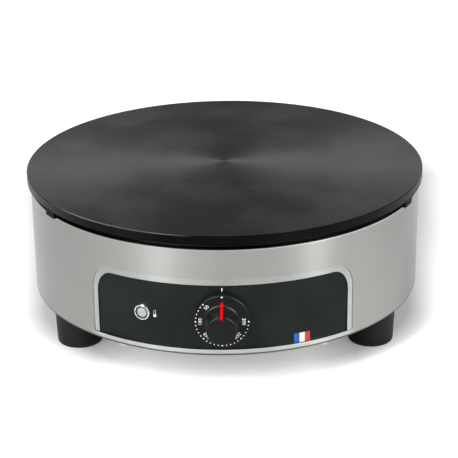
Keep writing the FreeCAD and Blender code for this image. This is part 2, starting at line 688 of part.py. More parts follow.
def control_panel():
    body = new_body("control_panel")
    low = f"{BODY_BOTTOM} + drum_sheet + panel_lift"
    section = rectangle(new_sketch(body, "panel_section", "YZ_Plane"), f"-{PANEL_RADIUS}", low,
                        f"-{PANEL_INSIDE}", f"{low} + panel_height")
    turned(body, "panel", section, "2 * panel_half")
    shaft_hole = circle(new_sketch(body, "shaft_hole_outline", "XZ_Plane",
                                   lift=f"{PANEL_INSIDE} - overrun"),
                        "0", CONTROL_HEIGHT, "shaft_radius + shaft_room")
    pocket(body, "shaft_hole", shaft_hole, "panel_thick + 2 * overrun")
    lamp_hole = circle(new_sketch(body, "lamp_hole_outline", "XZ_Plane", turn="lamp_turn",
                                  lift=f"{PANEL_INSIDE} - overrun"),
                       "0", CONTROL_HEIGHT, "bezel_tube + hole_gap")
    pocket(body, "lamp_hole", lamp_hole, "panel_thick + 2 * overrun")
    for side in ("-stud_half", "stud_half"):
        holes = new_sketch(body, "stud_hole_outline", "XZ_Plane", turn=side,
                           lift=f"{PANEL_INSIDE} - overrun")
        for height in ("stud_low", "stud_high"):
            circle(holes, "0", f"{BODY_BOTTOM} + {height}", "stud_radius + hole_gap")
        pocket(body, "stud_holes", holes, "panel_thick + 2 * overrun")
    return body


def panel_studs():
    body = new_body("panel_studs")
    end = f"{DRUM_INSIDE} - thread_gap"
    for side in ("-stud_half", "stud_half"):
        outline = new_sketch(body, "stud_outline", "XZ_Plane", turn=side, lift=f"{end} - stud_length")
        for height in ("stud_low", "stud_high"):
            circle(outline, "0", f"{BODY_BOTTOM} + {height}", "stud_radius")
        pad(body, "studs", outline, "stud_length")
    return body


def panel_nuts():
    body = new_body("panel_nuts")
    thick = "stud_flats / 2"
    for side in ("-stud_half", "stud_half"):
        outline = new_sketch(body, "nut_outline", "XZ_Plane", turn=side,
                             lift=f"{PANEL_INSIDE} - seat_gap - {thick}")
        for height in ("stud_low", "stud_high"):
            hexagon(outline, "0", f"{BODY_BOTTOM} + {height}", "stud_flats")
            circle(outline, "0", f"{BODY_BOTTOM} + {height}", "stud_radius + thread_gap")
        pad(body, "nuts", outline, thick)
    return body


# The thermostat stands on a bent bracket behind the panel, and its shaft carries the knob.

def thermostat_bracket():
    body = new_body("thermostat_bracket")
    top = f"{BODY_BOTTOM} + bracket_height"
    foot_top = f"{BODY_BOTTOM} + bracket_sheet"
    front, foot_end = f"-{BRACKET_DISTANCE}", f"-{BRACKET_FOOT_END}"
    section = polygon(new_sketch(body, "bracket_section", "YZ_Plane"), [
        (front, BODY_BOTTOM), (foot_end, BODY_BOTTOM), (foot_end, foot_top),
        (f"-{STAT_FRONT}", foot_top), (f"-{STAT_FRONT}", top), (front, top)])
    pad(body, "bracket", section, "bracket_width", midplane=True)
    holes = new_sketch(body, "bracket_hole_outline", "XZ_Plane", lift=f"{STAT_FRONT} - overrun")
    circle(holes, "0", CONTROL_HEIGHT, "bushing_radius + hole_gap")
    for side in ("-stat_screw_spacing / 2", "stat_screw_spacing / 2"):
        circle(holes, side, CONTROL_HEIGHT, "screw_radius + hole_gap")
    pocket(body, "bracket_holes", holes, "bracket_sheet + 2 * overrun")
    feet = new_sketch(body, "bracket_foot_holes", "XY_Plane", lift=f"{BODY_BOTTOM} - overrun")
    for spot in BRACKET_SPOTS:
        circle(feet, *spot, "screw_radius + thread_gap")
    pocket(body, "foot_holes", feet, "bracket_sheet + 2 * overrun")
    return body


def stat_frame(item, distance, height=CONTROL_HEIGHT):
    """Place a piece that is drawn lying, so that its upright axis points to the front."""
    place(item, "0", f"-({distance})", height, FACING_FRONT)
    return item


def thermostat_body():
    body = new_body("thermostat_body")
    case = rectangle(new_sketch(body, "case_outline", "XY_Plane", lift="-stat_depth"),
                     "-stat_width / 2", "-stat_height / 2", "stat_width / 2", "stat_height / 2")
    pad(body, "case", case, "stat_depth - seat_gap")
    bushing = circle(new_sketch(body, "bushing_outline", "XY_Plane", lift="-overrun"), "0",
                     "0", "bushing_radius")
    pad(body, "bushing", bushing, "bushing_length + overrun")
    bore = circle(new_sketch(body, "shaft_bore_outline", "XY_Plane", lift="-shaft_inside - overrun"),
                  "0", "0", "shaft_radius + running_gap")
    pocket(body, "shaft_bore", bore, "shaft_inside + bushing_length + 2 * overrun")
    threads = new_sketch(body, "stat_thread_outline", "XY_Plane", lift="-stat_screw_depth")
    for side in ("-stat_screw_spacing / 2", "stat_screw_spacing / 2"):
        circle(threads, side, "0", "screw_radius + thread_gap")
    pocket(body, "stat_threads", threads, "stat_screw_depth + overrun")
    tabs = new_sketch(body, "tab_outline", "XY_Plane", lift="-(stat_depth + tab_length)")
    for x in ("-stat_width / 4", "stat_width / 4"):
        for y in ("-stat_height / 4", "stat_height / 4"):
            rectangle(tabs, f"{x} - tab_width / 2", y, f"{x} + tab_width / 2", f"{y} + tab_thick")
    pad(body, "tabs", tabs, "tab_length + overrun")
    return stat_frame(body, STAT_FRONT)


def thermostat_screws():
    """Two screws from the front of the bracket into the thermostat."""
    body = new_body("thermostat_screws")
    heads = new_sketch(body, "head_outline", "XY_Plane", lift="bracket_sheet + thread_gap")
    inner_end = "stat_screw_depth - thread_room"
    shanks = new_sketch(body, "shank_outline", "XY_Plane", lift=f"-({inner_end})")
    for side in ("-stat_screw_spacing / 2", "stat_screw_spacing / 2"):
        circle(heads, side, "0", "screw_head")
        circle(shanks, side, "0", "screw_radius")
    pad(body, "heads", heads, "screw_head_height")
    pad(body, "shanks", shanks, f"bracket_sheet + thread_gap + {inner_end} + screw_head_height / 2")
    return stat_frame(body, STAT_FRONT)


def thermostat_shaft():
    """The D-ended shaft, from inside the thermostat to inside the knob."""
    body = new_body("thermostat_shaft")
    ahead = f"{KNOB_BACK} - {STAT_FRONT} + shaft_reach"
    outline = circle(new_sketch(body, "shaft_outline", "XY_Plane", lift="-shaft_inside"), "0", "0",
                     "shaft_radius")
    pad(body, "shaft", outline, f"shaft_inside + {ahead}")
    flat = rectangle(new_sketch(body, "flat_outline", "XY_Plane", lift=f"{ahead} - shaft_reach"),
                     "-shaft_radius - overrun", "shaft_radius - shaft_flat", "shaft_radius + overrun",
                     "shaft_radius + overrun")
    pocket(body, "flat", flat, "shaft_reach + overrun")
    bevelled(body, "shaft_tip", "shaft_bevel", lambda edge: abs(edge.BoundBox.ZMin - value(ahead)) < 1e-3)
    return stat_frame(body, STAT_FRONT)


# The knob: a round skirt that carries the dial, and a slightly tapered grip that flows into
# it. The moulding is hollow behind, round a hub with a D-shaped bore.

POINTER_LEVEL = "skirt_thick - pointer_inset"
GRIP_END = "(skirt_thick + grip_height)"


def knob():
    body = new_body("knob")
    roof = f"{GRIP_END} - knob_wall"
    section = polygon(new_sketch(body, "knob_section", "XZ_Plane"), [
        ("0", "0"), ("hub_radius", "0"), ("hub_radius", roof), ("grip_top - knob_wall", roof),
        ("grip_base - knob_wall", "skirt_thick - knob_wall"),
        ("skirt_radius - knob_wall", "skirt_thick - knob_wall"), ("skirt_radius - knob_wall", "0"),
        ("skirt_radius", "0"), ("skirt_radius", "skirt_thick"), ("grip_base", "skirt_thick"),
        ("grip_top", GRIP_END), ("0", GRIP_END)])
    turned(body, "knob_turned", section)
    rounded(body, "grip_flow", "grip_fillet", circle_at("grip_base", "skirt_thick"))
    rounded(body, "grip_edge", "grip_round", circle_at("grip_top", GRIP_END))
    rounded(body, "skirt_edge", "skirt_round", circle_at("skirt_radius", "skirt_thick"))
    bore = circle(new_sketch(body, "hub_bore_outline", "XY_Plane", lift="-overrun"), "0", "0",
                  "shaft_radius + running_gap")
    pocket(body, "hub_bore", bore, "shaft_reach + hub_room + overrun")
    key = rectangle(new_sketch(body, "bore_flat_outline", "XY_Plane"), "-shaft_radius",
                    "shaft_radius - shaft_flat + running_gap", "shaft_radius",
                    "shaft_radius + hub_room")
    pad(body, "bore_flat", key, "shaft_reach + hub_room")
    slot = polygon(new_sketch(body, "pointer_slot_section", "YZ_Plane"), pointer_outline("running_gap"))
    pocket(body, "pointer_slot", slot, "pointer_width + 2 * running_gap", midplane=True)
    return stat_frame(body, KNOB_BACK)


def pointer_outline(gap="0"):
    """The pointer from the side: along the skirt, up the grip and over its edge."""
    level = f"{POINTER_LEVEL} - {gap}"
    side_low = f"grip_base - pointer_inset - {gap}"
    side_high = f"grip_top - pointer_inset - {gap}"
    top_in = f"grip_top - pointer_tip - {gap}"
    low_out = f"pointer_start + {gap}"
    if gap != "0":
        far = "2 * grip_height"
        return [(low_out, level), (low_out, far), (top_in, far),
                (top_in, f"{GRIP_END} - pointer_inset - {gap}"),
                (side_high, f"{GRIP_END} - pointer_inset - {gap}"), (side_low, level)]
    face = "skirt_thick + pointer_proud"
    return [(low_out, level), (low_out, face), ("grip_base + pointer_proud", face),
            ("grip_top + pointer_proud", f"{GRIP_END} + pointer_proud"),
            (top_in, f"{GRIP_END} + pointer_proud"), (top_in, f"{GRIP_END} - pointer_inset"),
            (side_high, f"{GRIP_END} - pointer_inset"), (side_low, level)]


def along_pointer(y, z):
    """Chooses the pointer's cross edges at a point of its side view."""
    def pick(edge):
        box = edge.BoundBox
        return abs(box.YMin - value(y)) < 1e-3 and abs(box.ZMin - value(z)) < 1e-3 and \
            abs(edge.Length - value("pointer_width")) < 1e-3
    return pick


def knob_pointer():
    body = new_body("knob_pointer")
    section = polygon(new_sketch(body, "pointer_section", "YZ_Plane"), pointer_outline())
    pad(body, "pointer", section, "pointer_width", midplane=True)
    rounded(body, "pointer_flow", "grip_fillet - pointer_proud",
            along_pointer("grip_base + pointer_proud", "skirt_thick + pointer_proud"))
    rounded(body, "pointer_corner", "grip_round + pointer_proud",
            along_pointer("grip_top + pointer_proud", f"{GRIP_END} + pointer_proud"))
    return stat_frame(body, KNOB_BACK)


# The pilot lamp: a chrome bezel with a threaded tube, a black holder with a domed lens in it,
# and a nut behind the panel.

def lamp_frame(item):
    turn = FreeCAD.Rotation(ABOUT_Z, value("lamp_turn"))
    place(item, f"{PANEL_RADIUS} * sin(lamp_turn)", f"-{PANEL_RADIUS} * cos(lamp_turn)",
          CONTROL_HEIGHT, turn * FACING_FRONT)
    return item


def lamp_bezel():
    body = new_body("lamp_bezel")
    section = polygon(new_sketch(body, "bezel_section", "XZ_Plane"), [
        ("bezel_inner", "-bezel_length"), ("bezel_tube", "-bezel_length"),
        ("bezel_tube", "thread_gap"), ("bezel_radius", "thread_gap"),
        ("bezel_radius", "bezel_height"), ("bezel_inner", "bezel_height")])
    turned(body, "bezel", section)
    rounded(body, "bezel_edge", "bezel_round", circle_at("bezel_radius", "bezel_height"))
    return lamp_frame(body)


def lamp_body():
    body = new_body("lamp_body")
    well = "lens_radius + running_gap"
    outside, face = "bezel_inner - thread_gap", "bezel_height - holder_drop"
    section = polygon(new_sketch(body, "holder_section", "XZ_Plane"), [
        ("0", "-lamp_length"), (outside, "-lamp_length"), (outside, face), (well, face),
        (well, "-lens_depth"), ("0", "-lens_depth")])
    turned(body, "holder", section)
    return lamp_frame(body)


# The lens's crown, as shares of its radius and of its rise.
LENS_CROWN = ((1, 0), (0.75, 0.55), (0.4, 0.9), (0, 1))


def lamp_lens():
    body = new_body("lamp_lens")
    rim, low = "bezel_height - lens_drop", "-lens_depth + thread_gap"
    crown = [(f"lens_radius * {across}", f"{rim} + lens_rise * {up}") for across, up in LENS_CROWN]
    section = polygon(new_sketch(body, "lens_section", "XZ_Plane"),
                      [("0", low), ("lens_radius", low)] + crown)
    turned(body, "lens", section)
    return lamp_frame(body)


def lamp_nut():
    body = new_body("lamp_nut")
    high = "-(panel_thick + 2 * seat_gap)"
    outline = new_sketch(body, "lamp_nut_outline", "XY_Plane", lift=f"{high} - lamp_nut_height")
    hexagon(outline, "0", "0", "lamp_nut_flats")
    circle(outline, "0", "0", "bezel_tube + thread_gap")
    pad(body, "lamp_nut_pad", outline, "lamp_nut_height")
    return lamp_frame(body)


# The sensing line: a bulb held against the griddle by a saddle, and a thin tube from it down
# through the shield to the thermostat.

def bulb_direction():
    return FreeCAD.Vector(value("sin(bulb_angle)"), -value("cos(bulb_angle)"), 0)


def sensor_bulb():
    body = new_body("sensor_bulb")
    outline = circle(new_sketch(body, "bulb_outline", "XZ_Plane", lift="-bulb_length / 2"), "0", "0",
                     "bulb_radius")
    pad(body, "bulb", outline, "bulb_length")
    rounded(body, "bulb_ends", "bulb_round", lambda edge: edge.isClosed())
    x, y = upright_spot("bulb_angle", INNER_GAP)
    place(body, x, y, f"{WEB_BOTTOM} - seat_gap - bulb_radius",
          FreeCAD.Rotation(ABOUT_Z, value("bulb_angle")))
    return body


def bulb_clamp():
    body = new_body("bulb_clamp")
    outline = rectangle(new_sketch(body, "saddle_outline", "XY_Plane",
                                   lift=f"{SADDLE_TOP} - saddle_thick"),
                        f"{INNER_GAP} - bulb_radius - saddle_border", "-saddle_half",
                        f"{INNER_GAP} + {SADDLE_OFFSET} + bulb_radius + saddle_border",
                        "saddle_half")
    pad(body, "saddle", outline, "saddle_thick")
    hole = circle(new_sketch(body, "saddle_hole_outline", "XY_Plane",
                             lift=f"{SADDLE_TOP} - saddle_thick - overrun"),
                  f"{INNER_GAP} + {SADDLE_OFFSET}", "0", "screw_radius + hole_gap")
    pocket(body, "saddle_hole", hole, "saddle_thick + 2 * overrun")
    place(body, rotation=FreeCAD.Rotation(ABOUT_Z, value("bulb_angle")))
    return body


def bulb_screw():
    low = f"{SADDLE_TOP} - saddle_thick - screw_head_height"
    return screw_ring_group("bulb_screw", [f"{INNER_GAP} + {SADDLE_OFFSET}"], low, "screw_head",
                            "screw_head_height", "screw_radius",
                            "screw_head_height + saddle_thick + thread_depth - thread_room",
                            "bulb_angle", "1")


# The share of a run that the bend at either end may take.
BEND_SHARE = 0.45


def bent_path(points, bend):
    """Straight runs through points, joined by tangent arcs of one radius where it fits."""
    spots = [FreeCAD.Vector(*point) for point in points]
    edges = []
    start = spots[0]
    for before, corner, after in zip(spots, spots[1:], spots[2:]):
        arriving = (corner - before).normalize()
        leaving = (after - corner).normalize()
        half = arriving.getAngle(leaving) / 2
        room = BEND_SHARE * min((corner - before).Length, (after - corner).Length)
        reach = min(bend * math.tan(half), room)
        first, last = corner - arriving * reach, corner + leaving * reach
        inward = (leaving - arriving).normalize()
        radius = reach / math.tan(half)
        middle = corner + inward * (radius / math.cos(half) - radius)
        edges.append(Part.LineSegment(start, first).toShape())
        edges.append(Part.Arc(first, middle, last).toShape())
        start = last
    edges.append(Part.LineSegment(start, spots[-1]).toShape())
    return edges


def sensor_capillary():
    bulb_end = FreeCAD.Vector(*[value(part) for part in upright_spot("bulb_angle", INNER_GAP)],
                              value(f"{WEB_BOTTOM} - seat_gap - bulb_radius"))
    bulb_end += bulb_direction() * value("bulb_length / 2 + thread_gap")
    drop_x, drop_y = (value(part) for part in CAPILLARY_SPOT)
    stat_top = value(f"{CONTROL_HEIGHT} + stat_height / 2 + thread_gap")
    below = (value(SHIELD_BOTTOM) + stat_top) / 2
    back = value(f"{STAT_FRONT} - stat_depth / 2")
    side = value("capillary_side")
    points = [bulb_end, (drop_x, drop_y, bulb_end.z), (drop_x, drop_y, below),
              (side, -back, below), (side, -back, stat_top)]
    path = bent_path(points, value("capillary_bend"))
    return new_feature("sensor_capillary", swept(path, value("capillary_radius")))


# The supply entry: a cable gland in the drum's rear, with its seal, dome nut and locknut,
# then the terminal block and the earth stud on the base.

def gland_frame(item):
    place(item, "0", "body_radius + seat_gap", f"{BODY_BOTTOM} + gland_height", FACING_BACK)
    return item


def cable_gland():
    body = new_body("cable_gland")
    neck_end = "gland_flange + gland_neck_length"
    seat = "gland_bore + seal_wall"
    section = polygon(new_sketch(body, "gland_section", "XZ_Plane"), [
        ("gland_bore", "-gland_inside"), ("gland_thread", "-gland_inside"),
        ("gland_thread", "overrun"), ("gland_neck", "overrun"), ("gland_neck", neck_end),
        (seat, neck_end), (seat, "gland_flange"), ("gland_bore", "gland_flange")])
    turned(body, "gland_turned", section)
    flange = new_sketch(body, "flange_outline", "XY_Plane")
    hexagon(flange, "0", "0", "gland_flats")
    circle(flange, "0", "0", "gland_neck - overrun")
    pad(body, "gland_hexagon", flange, "gland_flange")
    return gland_frame(body)


def gland_seal():
    body = new_body("gland_seal")
    outline = new_sketch(body, "seal_outline", "XY_Plane", lift="gland_flange + seat_gap")
    circle(outline, "0", "0", "gland_bore + seal_wall - hole_gap")
    circle(outline, "0", "0", "seal_bore")
    pad(body, "seal", outline, "seal_length")
    return gland_frame(body)


def gland_dome():
    """The dome nut over the neck: hexagon at its foot, then a cone to its mouth."""
    body = new_body("gland_dome")
    neck_end = "gland_flange + gland_neck_length"
    low, inside, outside = "gland_flange + seat_gap", "gland_neck + thread_gap", "gland_neck + dome_wall"
    section = polygon(new_sketch(body, "dome_section", "XZ_Plane"), [
        (inside, low), (outside, low), (outside, f"{neck_end} + dome_shoulder"),
        ("dome_mouth + dome_lip", "dome_reach"), ("dome_mouth", "dome_reach"),
        ("gland_bore", f"{neck_end} + dome_room"), (inside, f"{neck_end} + dome_room")])
    turned(body, "dome_turned", section)
    foot_ring = new_sketch(body, "dome_hexagon_outline", "XY_Plane", lift=low)
    hexagon(foot_ring, "0", "0", "gland_flats - dome_step")
    circle(foot_ring, "0", "0", f"{outside} - overrun")
    pad(body, "dome_hexagon", foot_ring, "gland_neck_length / 2")
    return gland_frame(body)


def gland_locknut():
    body = new_body("gland_locknut")
    high = "-(drum_sheet + seat_gap + gland_washer)"
    outline = new_sketch(body, "locknut_outline", "XY_Plane", lift=f"{high} - gland_nut_height")
    hexagon(outline, "0", "0", "gland_flats")
    circle(outline, "0", "0", "gland_thread + thread_gap")
    pad(body, "locknut", outline, "gland_nut_height")
    return gland_frame(body)


BLOCK_WAYS = ("-block_width / 3", "0", "block_width / 3")
WAY_HEIGHT = f"({BODY_BOTTOM} + block_height / 2)"


def terminal_block():
    body = new_body("terminal_block")
    outline = rectangle(new_sketch(body, "block_outline", "XY_Plane", lift=BODY_BOTTOM),
                        "-block_width / 2", f"{BLOCK_BACK} - block_depth / 2", "block_width / 2",
                        f"{BLOCK_BACK} + block_depth / 2")
    pad(body, "block", outline, "block_height")
    wells = new_sketch(body, "screw_well_outline", "XY_Plane", lift=f"{BODY_BOTTOM} + block_height / 2")
    ways = new_sketch(body, "wire_way_outline", "XZ_Plane",
                      lift=f"-({BLOCK_BACK} + block_depth / 2 + overrun)")
    for way in BLOCK_WAYS:
        circle(wells, way, BLOCK_BACK, "block_screw + hole_gap")
        circle(ways, way, WAY_HEIGHT, "lead_radius + way_room")
    pocket(body, "screw_wells", wells, "block_height")
    pocket(body, "wire_ways", ways, "block_depth / 2 - way_wall")
    return body


def terminal_screws():
    body = new_body("terminal_screws")
    outline = new_sketch(body, "terminal_screw_outline", "XY_Plane",
                         lift=f"{BODY_BOTTOM} + block_height / 2 + seat_gap")
    for way in BLOCK_WAYS:
        circle(outline, way, BLOCK_BACK, "block_screw")
    pad(body, "terminal_screw", outline, "block_height / 2 - block_floor")
    return body


def earth_stud():
    body = new_body("earth_stud")
    stud = circle(new_sketch(body, "earth_outline", "XY_Plane", lift=BODY_BOTTOM),
                  "-earth_side", BLOCK_BACK, "earth_radius")
    pad(body, "stud", stud, "earth_height")
    nut = hexagon(new_sketch(body, "earth_nut_outline", "XY_Plane", lift=BODY_BOTTOM),
                  "-earth_side", BLOCK_BACK, "earth_flats")
    pad(body, "earth_nut", nut, "earth_nut")
    return body


def wiring():
    """Insulated leads between block, thermostat, lamp, element and earth."""
    way = value("block_width / 3")
    front = value(f"{BLOCK_BACK} - block_depth / 2 - thread_gap")
    height = value(WAY_HEIGHT)
    tab_x, tab_z = value("stat_width / 4"), value("stat_height / 4 + tab_thick / 2")
    tab_y = value(f"-({STAT_FRONT} - stat_depth - tab_length - thread_gap)")
    control = value(CONTROL_HEIGHT)
    low_tab, high_tab = control - tab_z + value("tab_thick"), control + tab_z
    leg_x, leg_y = value("leg_left"), value("leg_back")
    leg_low = value("leg_end - thread_gap")
    turn = math.radians(value("lamp_turn"))
    lamp_back = value(f"{PANEL_RADIUS} - lamp_length - thread_gap")
    outward = (math.sin(turn), -math.cos(turn))
    earth_x = -value("earth_side")

    def behind_lamp(depth, side):
        distance = lamp_back - depth
        return (outward[0] * distance - outward[1] * side, outward[1] * distance + outward[0] * side,
                control)

    drop, spread, bend = value("lead_drop"), value("lead_spread"), value("lead_bend")
    middle = 1.5 * drop
    earth_end = earth_x + value("earth_radius + lead_radius + thread_gap")
    routes = [
        [(-way, front, height), (-way, middle, height), (-tab_x, tab_y + drop, height),
         (-tab_x, tab_y + 1.5 * bend, low_tab), (-tab_x, tab_y, low_tab)],
        [(0, front, height), (0, leg_y + drop, height), (0, leg_y, height + 2 * bend),
         (0, leg_y, leg_low)],
        [(tab_x, tab_y, high_tab), (tab_x, tab_y + drop, high_tab), (leg_x, leg_y - drop, high_tab),
         (leg_x, leg_y, high_tab + bend), (leg_x, leg_y, leg_low)],
        [behind_lamp(0, spread), behind_lamp(bend, spread),
         (-tab_x, tab_y + 2.5 * bend, high_tab + 2 * spread), (-tab_x, tab_y + 1.5 * bend, high_tab),
         (-tab_x, tab_y, high_tab)],
        [behind_lamp(0, -spread), behind_lamp(2 * bend, -spread),
         (-tab_x - 1.25 * drop, -middle, height + bend), (way, drop, height), (way, front, height)],
        [(-value("block_width / 2 + thread_gap"), front + bend, height),
         (earth_x + bend, front + bend, height), (earth_end, front + bend, height + spread)],
    ]
    leads = [swept(bent_path(route, bend), value("lead_radius")) for route in routes]
    return new_feature("wiring", Part.makeCompound(leads))


def hardware():
    """Loose fasteners that need no function of their own."""
    hex_nuts("tie_rod_nuts", OUTER_GAP, "foot_height - washer_thick - nut_height", "bolt_flats",
             "nut_height", "bolt_radius", "rod_start", "rod_count")
    hex_nuts("foot_nuts", FOOT_RING, BODY_BOTTOM, "bolt_flats", "nut_height", "bolt_radius",
             "-90 - foot_spread", "foot_count")
    bracket_screws()


def bracket_screws():
    body = new_body("bracket_screws")
    low = "foot_height - screw_head_height"
    heads = new_sketch(body, "bracket_head_outline", "XY_Plane", lift=low)
    shanks = new_sketch(body, "bracket_shank_outline", "XY_Plane", lift=low)
    for spot in BRACKET_SPOTS:
        circle(heads, *spot, "screw_head")
        circle(shanks, *spot, "screw_radius")
    pad(body, "bracket_heads", heads, "screw_head_height")
    pad(body, "bracket_shanks", shanks, "screw_head_height + base_sheet + bracket_sheet + bolt_end")
    return body


def build():
    griddle_plate()
    heating_element()
    element_clamps()
    clamp_screws()
    heat_shield()
    insulation_blanket()
    tie_rods()
    tie_rod_washers()
    body_shell()
    base_plate()
    base_screws()
    foot("foot_front_left", "-90 - foot_spread")
    foot("foot_front_right", "-90 + foot_spread")
    foot("foot_rear", "90")
    foot_bolts()
    hardware()
    control_panel()
    panel_studs()
    panel_nuts()
    thermostat_bracket()
    thermostat_body()
    thermostat_screws()
    thermostat_shaft()
    knob()
    knob_pointer()
    lamp_bezel()
    lamp_body()
    lamp_lens()
    lamp_nut()
    sensor_bulb()
    bulb_clamp()
    bulb_screw()
    sensor_capillary()
    cable_gland()
    gland_seal()
    gland_dome()
    gland_locknut()
    terminal_block()
    terminal_screws()
    earth_stud()
    wiring()


def check_and_export():
    doc.recompute()
    for item in doc.Objects:
        if {"Invalid", "Error"} & set(item.State):
            raise ValueError(f"{item.Label} is {item.State}")
    pieces = [item for item in doc.Objects if item.isDerivedFrom("PartDesign::Body")
              or item.TypeId == "Part::Feature"]
    for piece in pieces:
        if piece.Shape.isNull() or not piece.Shape.isValid():
            raise ValueError(f"{piece.Label} has no valid shape")
    os.makedirs("parts", exist_ok=True)
    for piece in pieces:
        piece.Shape.exportStep(f"parts/{piece.Label}.step")
    print(len(pieces), "pieces,", sum(len(piece.Shape.Solids) for piece in pieces), "solids")


build()
check_and_export()
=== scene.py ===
import json
import math

import bpy
from mathutils import Matrix, Vector

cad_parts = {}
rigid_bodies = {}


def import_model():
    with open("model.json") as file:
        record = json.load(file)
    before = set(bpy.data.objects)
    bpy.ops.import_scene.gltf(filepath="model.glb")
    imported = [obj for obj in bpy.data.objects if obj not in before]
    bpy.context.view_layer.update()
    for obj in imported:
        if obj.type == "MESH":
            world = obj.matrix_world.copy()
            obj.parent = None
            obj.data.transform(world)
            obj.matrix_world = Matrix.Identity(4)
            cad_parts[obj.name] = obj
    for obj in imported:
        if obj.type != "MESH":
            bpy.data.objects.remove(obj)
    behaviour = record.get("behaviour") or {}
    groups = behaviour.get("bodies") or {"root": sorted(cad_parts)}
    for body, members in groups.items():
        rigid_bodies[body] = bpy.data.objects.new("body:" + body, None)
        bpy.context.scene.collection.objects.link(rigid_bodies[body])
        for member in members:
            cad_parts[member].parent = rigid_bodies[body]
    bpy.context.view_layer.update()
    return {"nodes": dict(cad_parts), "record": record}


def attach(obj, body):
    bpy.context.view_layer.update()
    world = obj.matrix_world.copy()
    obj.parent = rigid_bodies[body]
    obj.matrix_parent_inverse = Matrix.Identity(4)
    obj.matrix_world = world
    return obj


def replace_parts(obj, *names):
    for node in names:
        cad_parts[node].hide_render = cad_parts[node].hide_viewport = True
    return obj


# Electric crepe maker, dressed over its CAD frame. Metres, Z up, controls on -Y.

for leftover in list(bpy.data.objects):
    bpy.data.objects.remove(leftover, do_unlink=True)
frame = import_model()

# camera, fitted to the rim, drum and feet of the photograph
LENS = 127.49
CAMERA_DISTANCE = 1.677
CAMERA_LIFT = math.radians(22.34)
CAMERA_TURN = math.radians(1.08)
CAMERA_ROLL = math.radians(-0.726)
CAMERA_SHIFT = 0.00366
CAMERA_HEIGHT = 0.0841

# places on the object
PLATE_RADIUS = 0.200
PLATE_TOP = 0.159
DRUM_RADIUS = 0.1965
DRUM_BOTTOM = 0.038
DRUM_TOP = 0.144
KNOB_HEIGHT = 0.0753
SKIRT_FACE = 0.2029
PANEL_RADIUS = 0.1946
LAMP_TURN = math.radians(-22.5)
LEDGE_HEIGHT = DRUM_BOTTOM + 0.0052
PRINT_THICK = 0.00006

# printed marks on the panel
TICK_HEIGHT = 0.1037
TICK_SIZE = (0.0008, 0.0036)
ICON_TURN = math.radians(-18.9)
ICON_HEIGHT = 0.0748
TAG_LOW = 0.0425
TAG_HIGH = 0.0529
TAG_ARCS = (0.0737, 0.0791, 0.0845, 0.0899)

# lamps
LAMP_DISTANCE = 1.7
SHEEN_LIFT = 34

# dial
DIAL_RING = 0.0245
DIAL_NUMBERS = 0.0200
DIAL_STEP = 9
DIAL_START = 45
DIAL_END = 270
DIAL_MAJOR = 45
DIGIT_HEIGHT = 0.0032
DIGIT_SHARE = 0.70
DIGIT_SPACE = 1.08
NUMBER_STEP = 50
OFF_DOT = 0.00084
MAJOR_DOT = 0.00074
STEP_DOT = 0.00052


class Graph:
    """A node tree that is wired by short calls."""

    def __init__(self, tree):
        self.tree = tree

    def add(self, kind, *feeds, **settings):
        """A node with its settings. Its inputs, in order, are fed by sockets or set to values."""
        node = self.tree.nodes.new("ShaderNode" + kind)
        for name, value in settings.items():
            setattr(node, name, value)
        for socket, feed in zip([s for s in node.inputs if s.enabled], feeds):
            self.feed(socket, feed)
        return node

    def feed(self, socket, feed):
        if isinstance(feed, bpy.types.NodeSocket):
            self.tree.links.new(feed, socket)
        elif feed is not None:
            socket.default_value = feed

    def math(self, operation, *feeds):
        return self.add("Math", *feeds, operation=operation).outputs[0]

    def vector(self, operation, *feeds):
        return self.add("VectorMath", *feeds, operation=operation)

    def ramp(self, feed, low, high, start=0.0, end=1.0):
        """Follow feed from low to high with a value from start to end."""
        return self.add("MapRange", feed, low, high, start, end).outputs[0]

    def blend(self, mask, first, second):
        """A colour that goes from first to second as mask rises."""
        node = self.add("Mix", data_type="RGBA")
        for name, feed in (("Factor_Float", mask), ("A_Color", first), ("B_Color", second)):
            self.feed(next(s for s in node.inputs if s.identifier == name), feed)
        return next(s for s in node.outputs if s.identifier == "Result_Color")


def node_group(name, inputs, outputs):
    """An empty node group with named sockets, and the graph inside it."""
    tree = bpy.data.node_groups.new(name, "ShaderNodeTree")
    for label, value in inputs.items():
        kind = "NodeSocketVector" if value is None else "NodeSocketFloat"
        socket = tree.interface.new_socket(label, in_out="INPUT", socket_type=kind)
        if value is not None:
            socket.default_value = value
    for label in outputs:
        tree.interface.new_socket(label, in_out="OUTPUT", socket_type="NodeSocketFloat")
    graph = Graph(tree)
    ends = tree.nodes.new("NodeGroupInput"), tree.nodes.new("NodeGroupOutput")
    return tree, graph, ends[0].outputs, ends[1].inputs


def turning_marks():
    """Fine grooves that run round the Z axis, on flat faces and on walls."""
    tree, g, inside, out = node_group(
        "turning_marks", {"Position": None, "Lines": 800.0, "Length": 1.5}, ["Height"])
    parts = g.add("SeparateXYZ", inside["Position"]).outputs
    flat = g.add("CombineXYZ", parts["X"], parts["Y"], 0.0).outputs[0]
    radius = g.vector("LENGTH", flat).outputs["Value"]
    across = g.math("MULTIPLY", g.math("ADD", radius, parts["Z"]), inside["Lines"])
    around = g.add("SeparateXYZ", g.vector("NORMALIZE", flat).outputs[0]).outputs
    spot = g.add("CombineXYZ", across, g.math("MULTIPLY", around["X"], inside["Length"]),
                 g.math("MULTIPLY", around["Y"], inside["Length"])).outputs[0]
    noise = g.add("TexNoise", spot, 1.0, 4.0, 0.65).outputs[0]
    g.feed(out["Height"], noise)
    return tree


